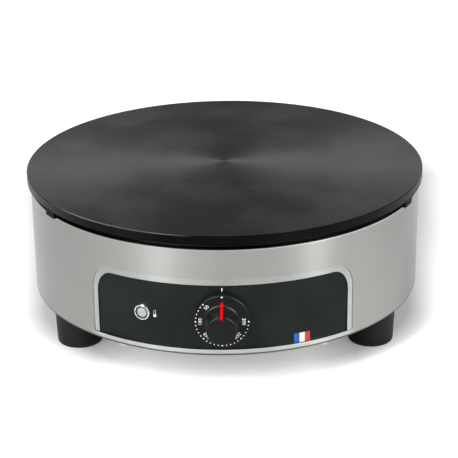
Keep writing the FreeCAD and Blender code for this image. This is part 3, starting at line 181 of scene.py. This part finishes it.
def soft_patches():
    """Cloudy patches, as an oil film or handling leaves."""
    tree, g, inside, out = node_group(
        "soft_patches", {"Position": None, "Scale": 12.0, "Spread": 0.15}, ["Mask"])
    noise = g.add("TexNoise", inside["Position"], inside["Scale"], 3.0, 0.5).outputs[0]
    low = g.math("SUBTRACT", 0.5, inside["Spread"])
    high = g.math("ADD", 0.5, inside["Spread"])
    soft = g.add("MapRange", noise, low, high, interpolation_type="SMOOTHSTEP").outputs[0]
    g.feed(out["Mask"], soft)
    return tree


def fine_scratches():
    """Short hairline scratches in three directions."""
    tree, g, inside, out = node_group(
        "fine_scratches", {"Position": None, "Scale": 900.0, "Amount": 0.5}, ["Mask"])
    limit = g.ramp(inside["Amount"], 0.0, 1.0, 0.80, 0.62)
    found = None
    for turn in (17, 74, 131):
        turned = g.add("Mapping", inside["Position"]).outputs[0]
        turned.node.inputs["Rotation"].default_value = (0.4, 0.2, math.radians(turn))
        stretched = g.vector("MULTIPLY", turned, (1.0, 0.04, 1.0)).outputs[0]
        noise = g.add("TexNoise", stretched, inside["Scale"], 1.0, 0.5).outputs[0]
        line = g.ramp(noise, limit, g.math("ADD", limit, 0.03))
        found = line if found is None else g.math("MAXIMUM", found, line)
    g.feed(out["Mask"], found)
    return tree


def specks():
    """Small pale grains of dust."""
    tree, g, inside, out = node_group(
        "specks", {"Position": None, "Scale": 300.0, "Size": 0.12}, ["Mask"])
    cells = g.add("TexVoronoi", inside["Position"], feature="F1")
    g.feed(cells.inputs["Scale"], inside["Scale"])
    some = g.math("GREATER_THAN", g.add("SeparateXYZ", cells.outputs["Color"]).outputs["X"], 0.6)
    near = g.ramp(cells.outputs["Distance"], inside["Size"],
                  g.math("MULTIPLY", inside["Size"], 0.5))
    g.feed(out["Mask"], g.math("MULTIPLY", some, near))
    return tree


MARKS = turning_marks()
PATCHES = soft_patches()
SCRATCHES = fine_scratches()
SPECKS = specks()


def start_material(name, color, roughness, **constants):
    """A material with its shader's sockets set, and its graph, shader and position."""
    material = bpy.data.materials.new(name)
    material.use_nodes = True
    g = Graph(material.node_tree)
    shader = material.node_tree.nodes["Principled BSDF"]
    shader.inputs["Base Color"].default_value = (*color, 1.0)
    shader.inputs["Roughness"].default_value = roughness
    for label, value in constants.items():
        shader.inputs[label.replace("_", " ")].default_value = value
    return material, g, shader, g.add("TexCoord").outputs["Object"]


def place_group(g, group, position, **values):
    """A shader group placed in a material with its own values. Its first output comes back."""
    node = g.add("Group", node_tree=group)
    g.feed(node.inputs["Position"], position)
    for label, value in values.items():
        node.inputs[label].default_value = value
    return node.outputs[0]


def raise_surface(g, shader, height, depth, strength=1.0, under=None):
    """Bump the surface by height times depth, in metres."""
    bump = g.add("Bump")
    bump.inputs["Strength"].default_value = strength
    bump.inputs["Distance"].default_value = depth
    g.feed(bump.inputs["Height"], height)
    g.feed(bump.inputs["Normal"], under)
    g.feed(shader.inputs["Normal"], bump.outputs[0])
    return bump.outputs[0]


def from_axis(g, spot):
    """The parts of a position, and its distance from the Z axis."""
    parts = g.add("SeparateXYZ", spot).outputs
    flat = g.add("CombineXYZ", parts["X"], parts["Y"], 0.0).outputs[0]
    return parts, g.vector("LENGTH", flat).outputs["Value"]


def griddle_iron():
    """Dark machined iron: turned on top, a painted highlight at the front left edge, black on the
    rim, with a painted sheen there at grazing angles.
    """
    material, g, shader, spot = start_material(
        "griddle_iron", (0.05, 0.05, 0.048), 0.4, Anisotropic=0.8, Anisotropic_Rotation=0.25,
        Specular_IOR_Level=0.05)
    marks = place_group(g, MARKS, spot, Lines=900.0, Length=2.5)
    rings = place_group(g, MARKS, spot, Lines=110.0, Length=0.8)
    film = place_group(g, PATCHES, spot, Scale=14.0, Spread=0.14)
    lines = place_group(g, SCRATCHES, spot, Scale=700.0, Amount=0.4)
    parts, radius = from_axis(g, spot)
    bevel = g.ramp(radius, PLATE_RADIUS - 0.0010, PLATE_RADIUS - 0.0006)
    side = g.ramp(parts["Z"], PLATE_TOP - 0.0007, PLATE_TOP - 0.0009)
    # painted highlight: the front left of the edge bevel is made bright, and the rest of the bevel
    # as dark as the rim
    painted_highlight_mask = g.math("MULTIPLY", g.ramp(parts["X"], -0.02, -0.07), g.ramp(parts["X"], -0.17, -0.13))
    edge = g.math("MULTIPLY", g.math("MULTIPLY", bevel, painted_highlight_mask), g.math("SUBTRACT", 1.0, side))
    below = g.math("MAXIMUM", side, g.math("SUBTRACT", bevel, painted_highlight_mask))
    grain = g.add("TexNoise", spot, 480.0, 2.0, 0.7).outputs[0]
    iron = g.blend(marks, (0.007, 0.007, 0.007, 1), (0.030, 0.030, 0.029, 1))
    iron = g.blend(g.ramp(grain, 0.40, 0.60, 0.0, 0.85), iron, (0.009, 0.009, 0.009, 1))
    iron = g.blend(g.math("MULTIPLY", film, 0.5), iron, (0.011, 0.011, 0.010, 1))
    iron = g.blend(g.math("MULTIPLY", rings, 0.45), iron, (0.031, 0.031, 0.031, 1))
    iron = g.blend(g.math("MULTIPLY", lines, 0.3), iron, (0.13, 0.13, 0.13, 1))
    iron = g.blend(g.math("MULTIPLY", edge, 0.8), iron, (0.46, 0.46, 0.44, 1))
    # painted sheen: the black rim wall turns paler where it is seen at grazing angles
    facing = g.add("LayerWeight", 0.5).outputs["Facing"]
    wall = g.ramp(parts["Z"], PLATE_TOP - 0.0084, PLATE_TOP - 0.0078)
    painted_rim_sheen = g.math("MULTIPLY", g.math("POWER", facing, 3.5), wall)
    crust = g.blend(film, (0.0015, 0.0015, 0.0015, 1), (0.0035, 0.0035, 0.0035, 1))
    crust = g.blend(painted_rim_sheen, crust, (0.16, 0.16, 0.16, 1))
    g.feed(shader.inputs["Base Color"], g.blend(below, iron, crust))
    g.feed(shader.inputs["Metallic"], g.ramp(below, 0.0, 1.0, 1.0, 0.0))
    top_gloss = g.ramp(film, 0.0, 1.0, 0.43, 0.36)
    g.feed(shader.inputs["Roughness"], g.math("ADD", top_gloss, g.math("MULTIPLY", below, 0.05)))
    first = raise_surface(g, shader, marks, 0.00002)
    second = raise_surface(g, shader, rings, 0.00004, under=first)
    raise_surface(g, shader, grain, 0.00003, under=second)
    return material


def brushed_steel(name="drum_steel", color=(0.300, 0.305, 0.292), roughness=0.25):
    """Sheet steel brushed round, with painted highlights where pressed or bent, a rear seam, and
    painted shade low down and in the gap under the griddle.
    """
    material, g, shader, spot = start_material(
        name, color, roughness, Metallic=1.0, Anisotropic=0.8, Anisotropic_Rotation=0.25)
    marks = place_group(g, MARKS, spot, Lines=2600.0, Length=2.4)
    streaks = place_group(g, MARKS, spot, Lines=520.0, Length=4.0)
    film = place_group(g, PATCHES, spot, Scale=7.0, Spread=0.2)
    lines = place_group(g, SCRATCHES, spot, Scale=900.0, Amount=0.2)
    dark = tuple(part * 0.93 for part in color) + (1,)
    bright = tuple(min(part * 1.07, 1.0) for part in color) + (1,)
    steel = g.blend(g.ramp(marks, 0.3, 0.7), dark, bright)
    steel = g.blend(g.math("MULTIPLY", g.ramp(streaks, 0.35, 0.65), 0.25), steel, bright)
    steel = g.blend(g.math("MULTIPLY", lines, 0.25), steel, (0.6, 0.6, 0.6, 1))
    parts, radius = from_axis(g, spot)
    # painted highlights: the low front strip, the pressed frame round the panel and the top bend,
    # most at the right, are made paler
    front = g.math("MULTIPLY", g.ramp(parts["Y"], -0.150, -0.157),
                   g.ramp(parts["Z"], DRUM_BOTTOM + 0.0062, DRUM_BOTTOM + 0.0048))
    pressed = g.math("MULTIPLY", g.ramp(radius, DRUM_RADIUS - 0.00012, DRUM_RADIUS - 0.00025),
                     g.ramp(parts["Z"], 0.090, 0.108, 0.30, 0.10))
    lip = g.math("MULTIPLY", g.ramp(parts["Z"], DRUM_TOP - 0.0012, DRUM_TOP - 0.0006),
                 g.ramp(radius, DRUM_RADIUS - 0.0012, DRUM_RADIUS - 0.0008))
    lip = g.math("MULTIPLY", lip, g.ramp(parts["X"], -0.02, 0.06, 0.1, 0.5))
    painted_highlight_mask = g.math("MAXIMUM", g.math("MULTIPLY", front, 0.34), g.math("MAXIMUM", pressed, lip))
    steel = g.blend(painted_highlight_mask, steel, (0.74, 0.75, 0.71, 1))
    # painted shade: darker along the low edge, along the bottom step of the pressed recess and on
    # the flange in the gap under the griddle; the rear seam is a real dark joint
    low = g.ramp(parts["Z"], DRUM_BOTTOM + 0.0015, DRUM_BOTTOM + 0.0009)
    painted_step_shade = g.ramp(g.math("ABSOLUTE", g.math("SUBTRACT", parts["Z"], LEDGE_HEIGHT)),
                   0.0002, 0.0001)
    painted_step_shade = g.math("MULTIPLY", painted_step_shade, g.ramp(radius, DRUM_RADIUS - 0.0001, DRUM_RADIUS - 0.0002))
    seam = g.math("MULTIPLY", g.ramp(g.math("ABSOLUTE", parts["X"]), 0.0005, 0.0003),
                  g.ramp(parts["Y"], 0.0, 0.1))
    painted_gap_shade = g.math("MULTIPLY", g.ramp(parts["Z"], DRUM_TOP - 0.0006, DRUM_TOP - 0.0003),
                  g.ramp(radius, DRUM_RADIUS - 0.0012, DRUM_RADIUS - 0.0020))
    painted_shade_and_seam = g.math("MAXIMUM", g.math("MAXIMUM", low, painted_step_shade), g.math("MULTIPLY", seam, 0.6))
    painted_shade_and_seam = g.math("MAXIMUM", painted_shade_and_seam, g.math("MULTIPLY", painted_gap_shade, 1.1))
    steel = g.blend(g.math("MULTIPLY", painted_shade_and_seam, 0.85), steel, (0.03, 0.035, 0.032, 1))
    g.feed(shader.inputs["Base Color"], steel)
    g.feed(shader.inputs["Roughness"],
           g.ramp(film, 0.0, 1.0, roughness - 0.02, roughness + 0.02))
    raise_surface(g, shader, marks, 0.000008)
    return material


def plain_finish(name, color, roughness, grain=2200.0, depth=0.00001, dust=0.0, **constants):
    """Moulded, painted or plated: a fine grain, soft patches in its gloss, and some dust."""
    material, g, shader, spot = start_material(name, color, roughness, **constants)
    fine = g.add("TexNoise", spot, grain, 3.0, 0.6).outputs[0]
    film = place_group(g, PATCHES, spot, Scale=30.0, Spread=0.2)
    deep = tuple(part * 0.85 for part in color) + (1,)
    pale = tuple(min(part * 1.12 + 0.001, 1.0) for part in color) + (1,)
    shade = g.blend(film, deep, pale)
    shade = g.blend(g.math("MULTIPLY", fine, 0.3), shade, pale)
    if dust:
        grains = place_group(g, SPECKS, spot, Scale=420.0, Size=0.10)
        shade = g.blend(g.math("MULTIPLY", grains, dust), shade, (0.35, 0.34, 0.33, 1))
    g.feed(shader.inputs["Base Color"], shade)
    g.feed(shader.inputs["Roughness"], g.ramp(film, 0.0, 1.0, roughness * 0.92, roughness * 1.1))
    raise_surface(g, shader, fine, depth)
    return material


def make_finishes():
    """One material for each of the record's slots."""
    return {
        "cast_plate": griddle_iron(),
        "brushed_drum": brushed_steel(),
        "base_steel": brushed_steel("base_steel", (0.36, 0.37, 0.36), 0.4),
        "foot_rubber": plain_finish("foot_rubber", (0.0056, 0.0078, 0.0070), 0.5, dust=0.08,
                                    Specular_IOR_Level=0.16),
        "panel_black": plain_finish("panel_black", (0.0048, 0.0082, 0.0072), 0.4, dust=0.08,
                                    Specular_IOR_Level=0.12),
        "knob_black": plain_finish("knob_black", (0.0052, 0.0066, 0.0062), 0.38, dust=0.06,
                                   Specular_IOR_Level=0.11),
        "pointer_red": plain_finish("pointer_red", (0.54, 0.001, 0.002), 0.5,
                                    Specular_IOR_Level=0.03),
        "lamp_chrome": plain_finish("lamp_chrome", (0.74, 0.74, 0.69), 0.16, depth=0.000001,
                                    Metallic=1.0),
        "lamp_clear": plain_finish("lamp_clear", (0.40, 0.41, 0.39), 0.08, depth=0.000001,
                                   Transmission_Weight=0.3, IOR=1.9, Coat_Weight=0.8),
        "black_plastic": plain_finish("black_plastic", (0.02, 0.02, 0.021), 0.45),
        "seal_rubber": plain_finish("seal_rubber", (0.02, 0.02, 0.02), 0.7),
        "screw_steel": plain_finish("screw_steel", (0.62, 0.62, 0.61), 0.25, Metallic=1.0),
        "element_steel": plain_finish("element_steel", (0.22, 0.20, 0.18), 0.45, Metallic=1.0),
        "fibre_white": plain_finish("fibre_white", (0.72, 0.71, 0.67), 0.9, grain=500.0,
                                    depth=0.0006),
        "sensor_copper": plain_finish("sensor_copper", (0.72, 0.36, 0.22), 0.3, Metallic=1.0),
        "shaft_brass": plain_finish("shaft_brass", (0.70, 0.52, 0.24), 0.28, Metallic=1.0),
        "ceramic_block": plain_finish("ceramic_block", (0.80, 0.78, 0.72), 0.3),
        "lead_insulation": plain_finish("lead_insulation", (0.22, 0.10, 0.05), 0.6, grain=900.0,
                                        depth=0.0001),
    }


FINISHES = make_finishes()
OWN_FINISHES = {
    # painted shade: the base plate is made dark, as its edge under the drum lies in shade
    "base_plate": brushed_steel("base_edge_steel", (0.07, 0.075, 0.07), 0.45),
    # painted shade: the heat shield is made dark, as it shows only in the shaded gap under the
    # griddle
    "heat_shield": brushed_steel("sooty_steel", (0.03, 0.03, 0.028), 0.6),
}
DIAL_INK = plain_finish("dial_ink", (0.88, 0.88, 0.87), 0.5, Specular_IOR_Level=0.3)
TAG_BLUE = plain_finish("tag_blue", (0.010, 0.085, 0.36), 0.5, Specular_IOR_Level=0.2)
TAG_WHITE = plain_finish("tag_white", (0.66, 0.68, 0.67), 0.45)
TAG_RED = plain_finish("tag_red", (0.42, 0.040, 0.020), 0.5, Specular_IOR_Level=0.2)


def dress_frame():
    """Give each CAD node the material of its slot."""
    for part in frame["record"]["subparts"]:
        node = frame["nodes"][part["node"]]
        node.data.materials.clear()
        node.data.materials.append(OWN_FINISHES.get(part["node"], FINISHES[part["material_slot"]]))


def deselect():
    """Operators act on all that is selected, so nothing is when a piece starts."""
    bpy.ops.object.select_all(action="DESELECT")


def finish_piece(name, body, material, smooth=30):
    """Name the active object, set its place into its mesh, and let it ride on its body."""
    piece = bpy.context.object
    if piece.mode == "EDIT":
        bpy.ops.object.mode_set(mode="OBJECT")
    bpy.ops.object.transform_apply(location=True, rotation=True, scale=True)
    bpy.ops.object.shade_smooth_by_angle(angle=math.radians(smooth))
    piece.name = name
    piece.data.name = name
    piece.data.materials.clear()
    piece.data.materials.append(material)
    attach(piece, body)
    return piece


def dial_place(angle, distance):
    """A place on the dial's face, counter-clockwise from the top as the user sees it."""
    return (Matrix.Translation((0, -SKIRT_FACE, KNOB_HEIGHT)) @ Matrix.Rotation(-angle, 4, "Y")
            @ Matrix.Translation((0, 0, distance)) @ Matrix.Rotation(math.pi / 2, 4, "X"))


def panel_place(turn, height, radius=PANEL_RADIUS):
    """A place on the panel's face, turned from the middle towards the right."""
    return (Matrix.Rotation(turn, 4, "Z") @ Matrix.Translation((0, -radius, height))
            @ Matrix.Rotation(math.pi / 2, 4, "X"))


def settle(place):
    """Put the active object at a place, and that place into its mesh."""
    bpy.context.object.matrix_world = place
    bpy.ops.object.transform_apply(location=True, rotation=True, scale=True)


def start_disc(place, sides, radius):
    """Start a piece from a filled circle set at a place, all of it selected in edit mode."""
    deselect()
    bpy.ops.mesh.primitive_circle_add(vertices=sides, radius=radius, fill_type="NGON")
    settle(place)
    bpy.ops.object.mode_set(mode="EDIT")
    bpy.ops.mesh.select_all(action="SELECT")


def start_square(place, size):
    """Start a piece from a square set at a place, all of it selected in edit mode."""
    deselect()
    bpy.ops.mesh.primitive_plane_add(size=size)
    settle(place)
    bpy.ops.object.mode_set(mode="EDIT")
    bpy.ops.mesh.select_all(action="SELECT")


def thicken(direction):
    """Extrude the selected faces along a direction."""
    bpy.ops.mesh.extrude_region_move(TRANSFORM_OT_translate={"value": direction})


def join(pieces, name):
    """Join pieces into one object."""
    deselect()
    for piece in pieces:
        piece.select_set(True)
    bpy.context.view_layer.objects.active = pieces[0]
    bpy.ops.object.join()
    bpy.context.object.name = name
    return bpy.context.object


def dial_dots():
    """Printed dots round the dial: one for off, and one for each step of the scale."""
    dots = []
    angles = [0] + list(range(DIAL_START, DIAL_END + 1, DIAL_STEP))
    for angle in angles:
        major = angle % DIAL_MAJOR == 0
        radius = OFF_DOT if angle == 0 else MAJOR_DOT if major else STEP_DOT
        start_disc(dial_place(math.radians(angle), DIAL_RING), 12, radius)
        thicken((0, -PRINT_THICK, 0))
        bpy.ops.object.mode_set(mode="OBJECT")
        dots.append(bpy.context.object)
    join(dots, "dial_dots")
    finish_piece("dial_dots", "knob", DIAL_INK)


def dial_numbers():
    """Generic temperature numbers, with their tops outwards."""
    numbers = []
    for step, angle in enumerate(range(DIAL_START, DIAL_END + 1, DIAL_MAJOR), start=1):
        deselect()
        bpy.ops.object.text_add()
        text = bpy.context.object
        text.data.body = str(NUMBER_STEP * step)
        text.data.size = DIGIT_HEIGHT / DIGIT_SHARE
        text.data.align_x = "CENTER"
        text.data.align_y = "CENTER"
        text.data.extrude = PRINT_THICK / 2
        text.data.space_character = DIGIT_SPACE
        text.data.resolution_u = 4
        bpy.ops.object.convert(target="MESH")
        settle(dial_place(math.radians(angle), DIAL_NUMBERS))
        numbers.append(bpy.context.object)
    join(numbers, "dial_numbers")
    finish_piece("dial_numbers", "knob", DIAL_INK)


def panel_tick():
    """The white mark above the knob that the scale is read against."""
    start_square(panel_place(0, TICK_HEIGHT) @ Matrix.Diagonal((*TICK_SIZE, 1, 1)), 1)
    thicken((0, -PRINT_THICK, 0))
    finish_piece("panel_tick", "housing", DIAL_INK)


def thermometer_icon():
    """A small thermometer by the lamp: an outlined tube over a filled bulb."""
    place = panel_place(ICON_TURN, ICON_HEIGHT)
    out = place.to_3x3() @ Vector((0, 0, 1))
    pieces = []
    for x, y, half_wide, half_tall in ((-0.0009, 0.0013, 0.00013, 0.0022),
                                       (0.0009, 0.0013, 0.00013, 0.0022),
                                       (0, 0.0036, 0.0009, 0.00013)):
        half_size = Matrix.Diagonal((half_wide, half_tall, 1, 1))
        start_square(place @ Matrix.Translation((x, y, 0)) @ half_size, 2)
        thicken(out * PRINT_THICK)
        bpy.ops.object.mode_set(mode="OBJECT")
        pieces.append(bpy.context.object)
    start_disc(place @ Matrix.Translation((0, -0.0019, 0)), 20, 0.0014)
    thicken(out * PRINT_THICK)
    bpy.ops.object.mode_set(mode="OBJECT")
    pieces.append(bpy.context.object)
    join(pieces, "thermometer_icon")
    finish_piece("thermometer_icon", "housing", DIAL_INK)


def stripe_tag():
    """Three upright stripes on the panel's lower right, bent to its curve."""
    edges = [arc / PANEL_RADIUS for arc in TAG_ARCS]
    for material, start, end in zip((TAG_BLUE, TAG_WHITE, TAG_RED), edges, edges[1:]):
        edge_line = Matrix.Diagonal((0.00001, TAG_HIGH - TAG_LOW, 1, 1))
        start_square(panel_place(start, (TAG_LOW + TAG_HIGH) / 2) @ edge_line, 1)
        bpy.ops.mesh.remove_doubles(threshold=0.0001)
        bpy.ops.mesh.spin(steps=4, angle=end - start, center=(0, 0, 0), axis=(0, 0, 1))
        bpy.ops.mesh.select_all(action="SELECT")
        bpy.ops.mesh.remove_doubles(threshold=0.00001)
        bpy.ops.mesh.normals_make_consistent(inside=False)
        bpy.ops.object.mode_set(mode="OBJECT")
        wall = bpy.context.object.modifiers.new("thickness", "SOLIDIFY")
        wall.thickness = PRINT_THICK
        wall.offset = 1
        bpy.ops.object.modifier_apply(modifier=wall.name)
        finish_piece("tag_" + material.name.split("_")[1], "housing", material)


def shape_rings(place, sides, rings):
    """From a filled circle, extrude ring after ring of (rise, radius) along the place's normal."""
    start_disc(place @ Matrix.Translation((0, 0, rings[0][0])), sides, rings[0][1])
    out = place.to_3x3() @ Vector((0, 0, 1))
    for (rise, radius), (next_rise, next_radius) in zip(rings, rings[1:]):
        thicken(out * (next_rise - rise))
        middle = place @ Vector((0, 0, next_rise))
        bpy.ops.transform.resize(value=(next_radius / radius,) * 3, center_override=middle)


def lamp_ring():
    """The pilot lamp's plated ring: a narrow lip that slopes in to a dark collar."""
    place = panel_place(LAMP_TURN, KNOB_HEIGHT)
    shape_rings(place, 64, [(0.0, 0.0079), (0.0016, 0.0079), (0.0024, 0.0076), (0.0028, 0.0071),
                            (0.0027, 0.0065), (0.0012, 0.0061), (0.0010, 0.0050)])
    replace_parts(finish_piece("lamp_ring", "housing", FINISHES["lamp_chrome"]),
                "lamp_bezel")
    shape_rings(place, 48, [(0.0005, 0.0060), (0.0019, 0.0060), (0.0021, 0.0058),
                            (0.0021, 0.0050), (0.0014, 0.0048)])
    finish_piece("lamp_collar", "housing", FINISHES["black_plastic"])


def faceted_lens():
    """The pilot lamp's clear lens, cut in facets that catch the light."""
    shape_rings(panel_place(LAMP_TURN, KNOB_HEIGHT), 9,
                [(0.0008, 0.0050), (0.0020, 0.0050), (0.0029, 0.0036), (0.0031, 0.0022),
                 (0.0036, 0.0009)])
    piece = finish_piece("faceted_lens", "housing", FINISHES["lamp_clear"],
                         smooth=1)
    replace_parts(piece, "lamp_lens")


def backdrop_shade(g):
    """A painted shadow on the floor close round the object's sides, soft at its border: a factor
    below 1 there, and 1 elsewhere.
    """
    parts = g.add("SeparateXYZ", g.add("TexCoord").outputs["Object"]).outputs
    aside = g.math("ABSOLUTE", parts["X"])
    behind = g.math("MAXIMUM", parts["Y"], 0.0)
    across = g.math("DIVIDE", aside, g.math("MULTIPLY_ADD", behind, 0.65, 1.0))
    before = g.math("MULTIPLY", g.math("MINIMUM", parts["Y"], 0.0), 1.25)
    flat = g.add("CombineXYZ", across, before, 0.0).outputs[0]
    away = g.vector("LENGTH", flat).outputs["Value"]
    painted_shadow = g.ramp(away, 0.190, 0.225, 0.52, 0.0)
    place = g.math("MULTIPLY", g.ramp(aside, 0.08, 0.13),
                   g.ramp(parts["Y"], 0.38, 0.48, 1.0, 0.0))
    return g.math("SUBTRACT", 1.0, g.math("MULTIPLY", painted_shadow, place))


def make_floor():
    """A pale floor, white to the camera, which keeps the object's shadow, with a painted shadow
    close round its sides.
    """
    deselect()
    bpy.ops.mesh.primitive_plane_add(size=8)
    floor = bpy.context.object
    floor.name = "floor"
    material = bpy.data.materials.new("pale_floor")
    material.use_nodes = True
    g = Graph(material.node_tree)
    material.node_tree.nodes.clear()
    camera_ray = g.add("LightPath").outputs["Is Camera Ray"]
    shade = backdrop_shade(g)
    # the painted shadow darkens the floor's colour and its glow, for the camera only
    tone = g.blend(shade, (0.0, 0.0, 0.0, 1), (0.80, 0.80, 0.80, 1))
    matt = g.add("BsdfDiffuse", g.blend(camera_ray, (0.75, 0.75, 0.75, 1), tone))
    lift = g.math("MULTIPLY", camera_ray, g.math("MULTIPLY", shade, 0.40))
    glow = g.add("Emission", (1.0, 1.0, 1.0, 1), lift)
    both = g.add("AddShader", matt.outputs[0], glow.outputs[0]).outputs[0]
    g.feed(g.add("OutputMaterial").inputs["Surface"], both)
    floor.data.materials.append(material)


def make_world():
    """White to the camera and in reflections near the horizon, and an even soft light."""
    world = bpy.data.worlds.new("studio")
    bpy.context.scene.world = world
    world.use_nodes = True
    g = Graph(world.node_tree)
    world.node_tree.nodes.clear()
    path = g.add("LightPath").outputs
    lift = g.add("SeparateXYZ", g.add("TexCoord").outputs["Generated"]).outputs["Z"]
    ceiling = g.ramp(lift, 0.25, 0.85)
    mirrored = g.blend(ceiling, (1.0, 1.0, 1.0, 1), (0.11, 0.11, 0.11, 1))
    shown = g.blend(path["Is Glossy Ray"], (1.0, 1.0, 1.0, 1), mirrored)
    seen = g.math("MAXIMUM", path["Is Camera Ray"],
                  g.math("MAXIMUM", path["Is Glossy Ray"], path["Is Transmission Ray"]))
    light = g.add("Background", (1.0, 1.0, 1.0, 1), 0.62).outputs[0]
    view = g.add("Background", shown, 1.0).outputs[0]
    mix = g.add("MixShader", seen, light, view).outputs[0]
    g.feed(g.add("OutputWorld").inputs["Surface"], mix)


def soft_light(name, turn, lift, distance, wide, tall, power):
    """An area lamp aimed at the object, turned from the front towards the right."""
    lamp = bpy.data.lights.new(name, "AREA")
    lamp.shape = "RECTANGLE"
    lamp.size, lamp.size_y, lamp.energy = wide, tall, power
    holder = bpy.data.objects.new(name, lamp)
    bpy.context.collection.objects.link(holder)
    turn, lift = math.radians(turn), math.radians(lift)
    away = Vector((math.sin(turn) * math.cos(lift), -math.cos(turn) * math.cos(lift),
                   math.sin(lift)))
    holder.location = away * distance + Vector((0, 0, 0.1))
    holder.rotation_euler = away.to_track_quat("Z", "Y").to_euler()
    return holder


def make_lights():
    """Soft lamps. Three give only reflections, and they leave the griddle out."""
    without_griddle = bpy.data.collections.new("all_but_griddle")
    without_griddle.objects.link(frame["nodes"]["griddle_plate"])
    without_griddle.collection_objects[0].light_linking.link_state = "EXCLUDE"
    key = soft_light("key_light", -36, 38, LAMP_DISTANCE, 0.34, 1.1, 27)
    key.visible_glossy = False
    fill = soft_light("fill_light", 44, 34, LAMP_DISTANCE, 0.40, 0.8, 11)
    fill.visible_glossy = False
    for name, turn, wide, power in (("sheen_light", -36, 0.34, 79), ("edge_light", 52, 0.04, 72),
                                    ("side_light", 92, 0.90, 56)):
        glow = soft_light(name, turn, SHEEN_LIFT, LAMP_DISTANCE, wide, 1.1, power)
        glow.visible_diffuse = False
        glow.light_linking.receiver_collection = without_griddle
    top = soft_light("top_light", 0, 84, 1.9, 1.6, 1.2, 4)
    top.visible_glossy = False


def make_camera():
    """The photograph's view, with the small roll and offset of its fitted camera."""
    data = bpy.data.cameras.new("camera")
    data.lens, data.sensor_width = LENS, 36.0
    camera = bpy.data.objects.new("camera", data)
    bpy.context.collection.objects.link(camera)
    back = Vector((math.sin(CAMERA_TURN) * math.cos(CAMERA_LIFT),
                   -math.cos(CAMERA_TURN) * math.cos(CAMERA_LIFT), math.sin(CAMERA_LIFT)))
    right = Vector((math.cos(CAMERA_TURN), math.sin(CAMERA_TURN), 0))
    up = back.cross(right)
    turned_right = right * math.cos(CAMERA_ROLL) + up * math.sin(CAMERA_ROLL)
    turned_up = up * math.cos(CAMERA_ROLL) - right * math.sin(CAMERA_ROLL)
    target = right * CAMERA_SHIFT + Vector((0, 0, CAMERA_HEIGHT))
    axes = Matrix((turned_right, turned_up, back)).transposed()
    camera.matrix_world = Matrix.Translation(target + back * CAMERA_DISTANCE) @ axes.to_4x4()
    bpy.context.scene.camera = camera


bpy.context.scene.view_settings.view_transform = "Standard"
make_camera()
make_world()
make_lights()
make_floor()
dress_frame()
dial_dots()
dial_numbers()
panel_tick()
thermometer_icon()
stripe_tag()
lamp_ring()
faceted_lens()
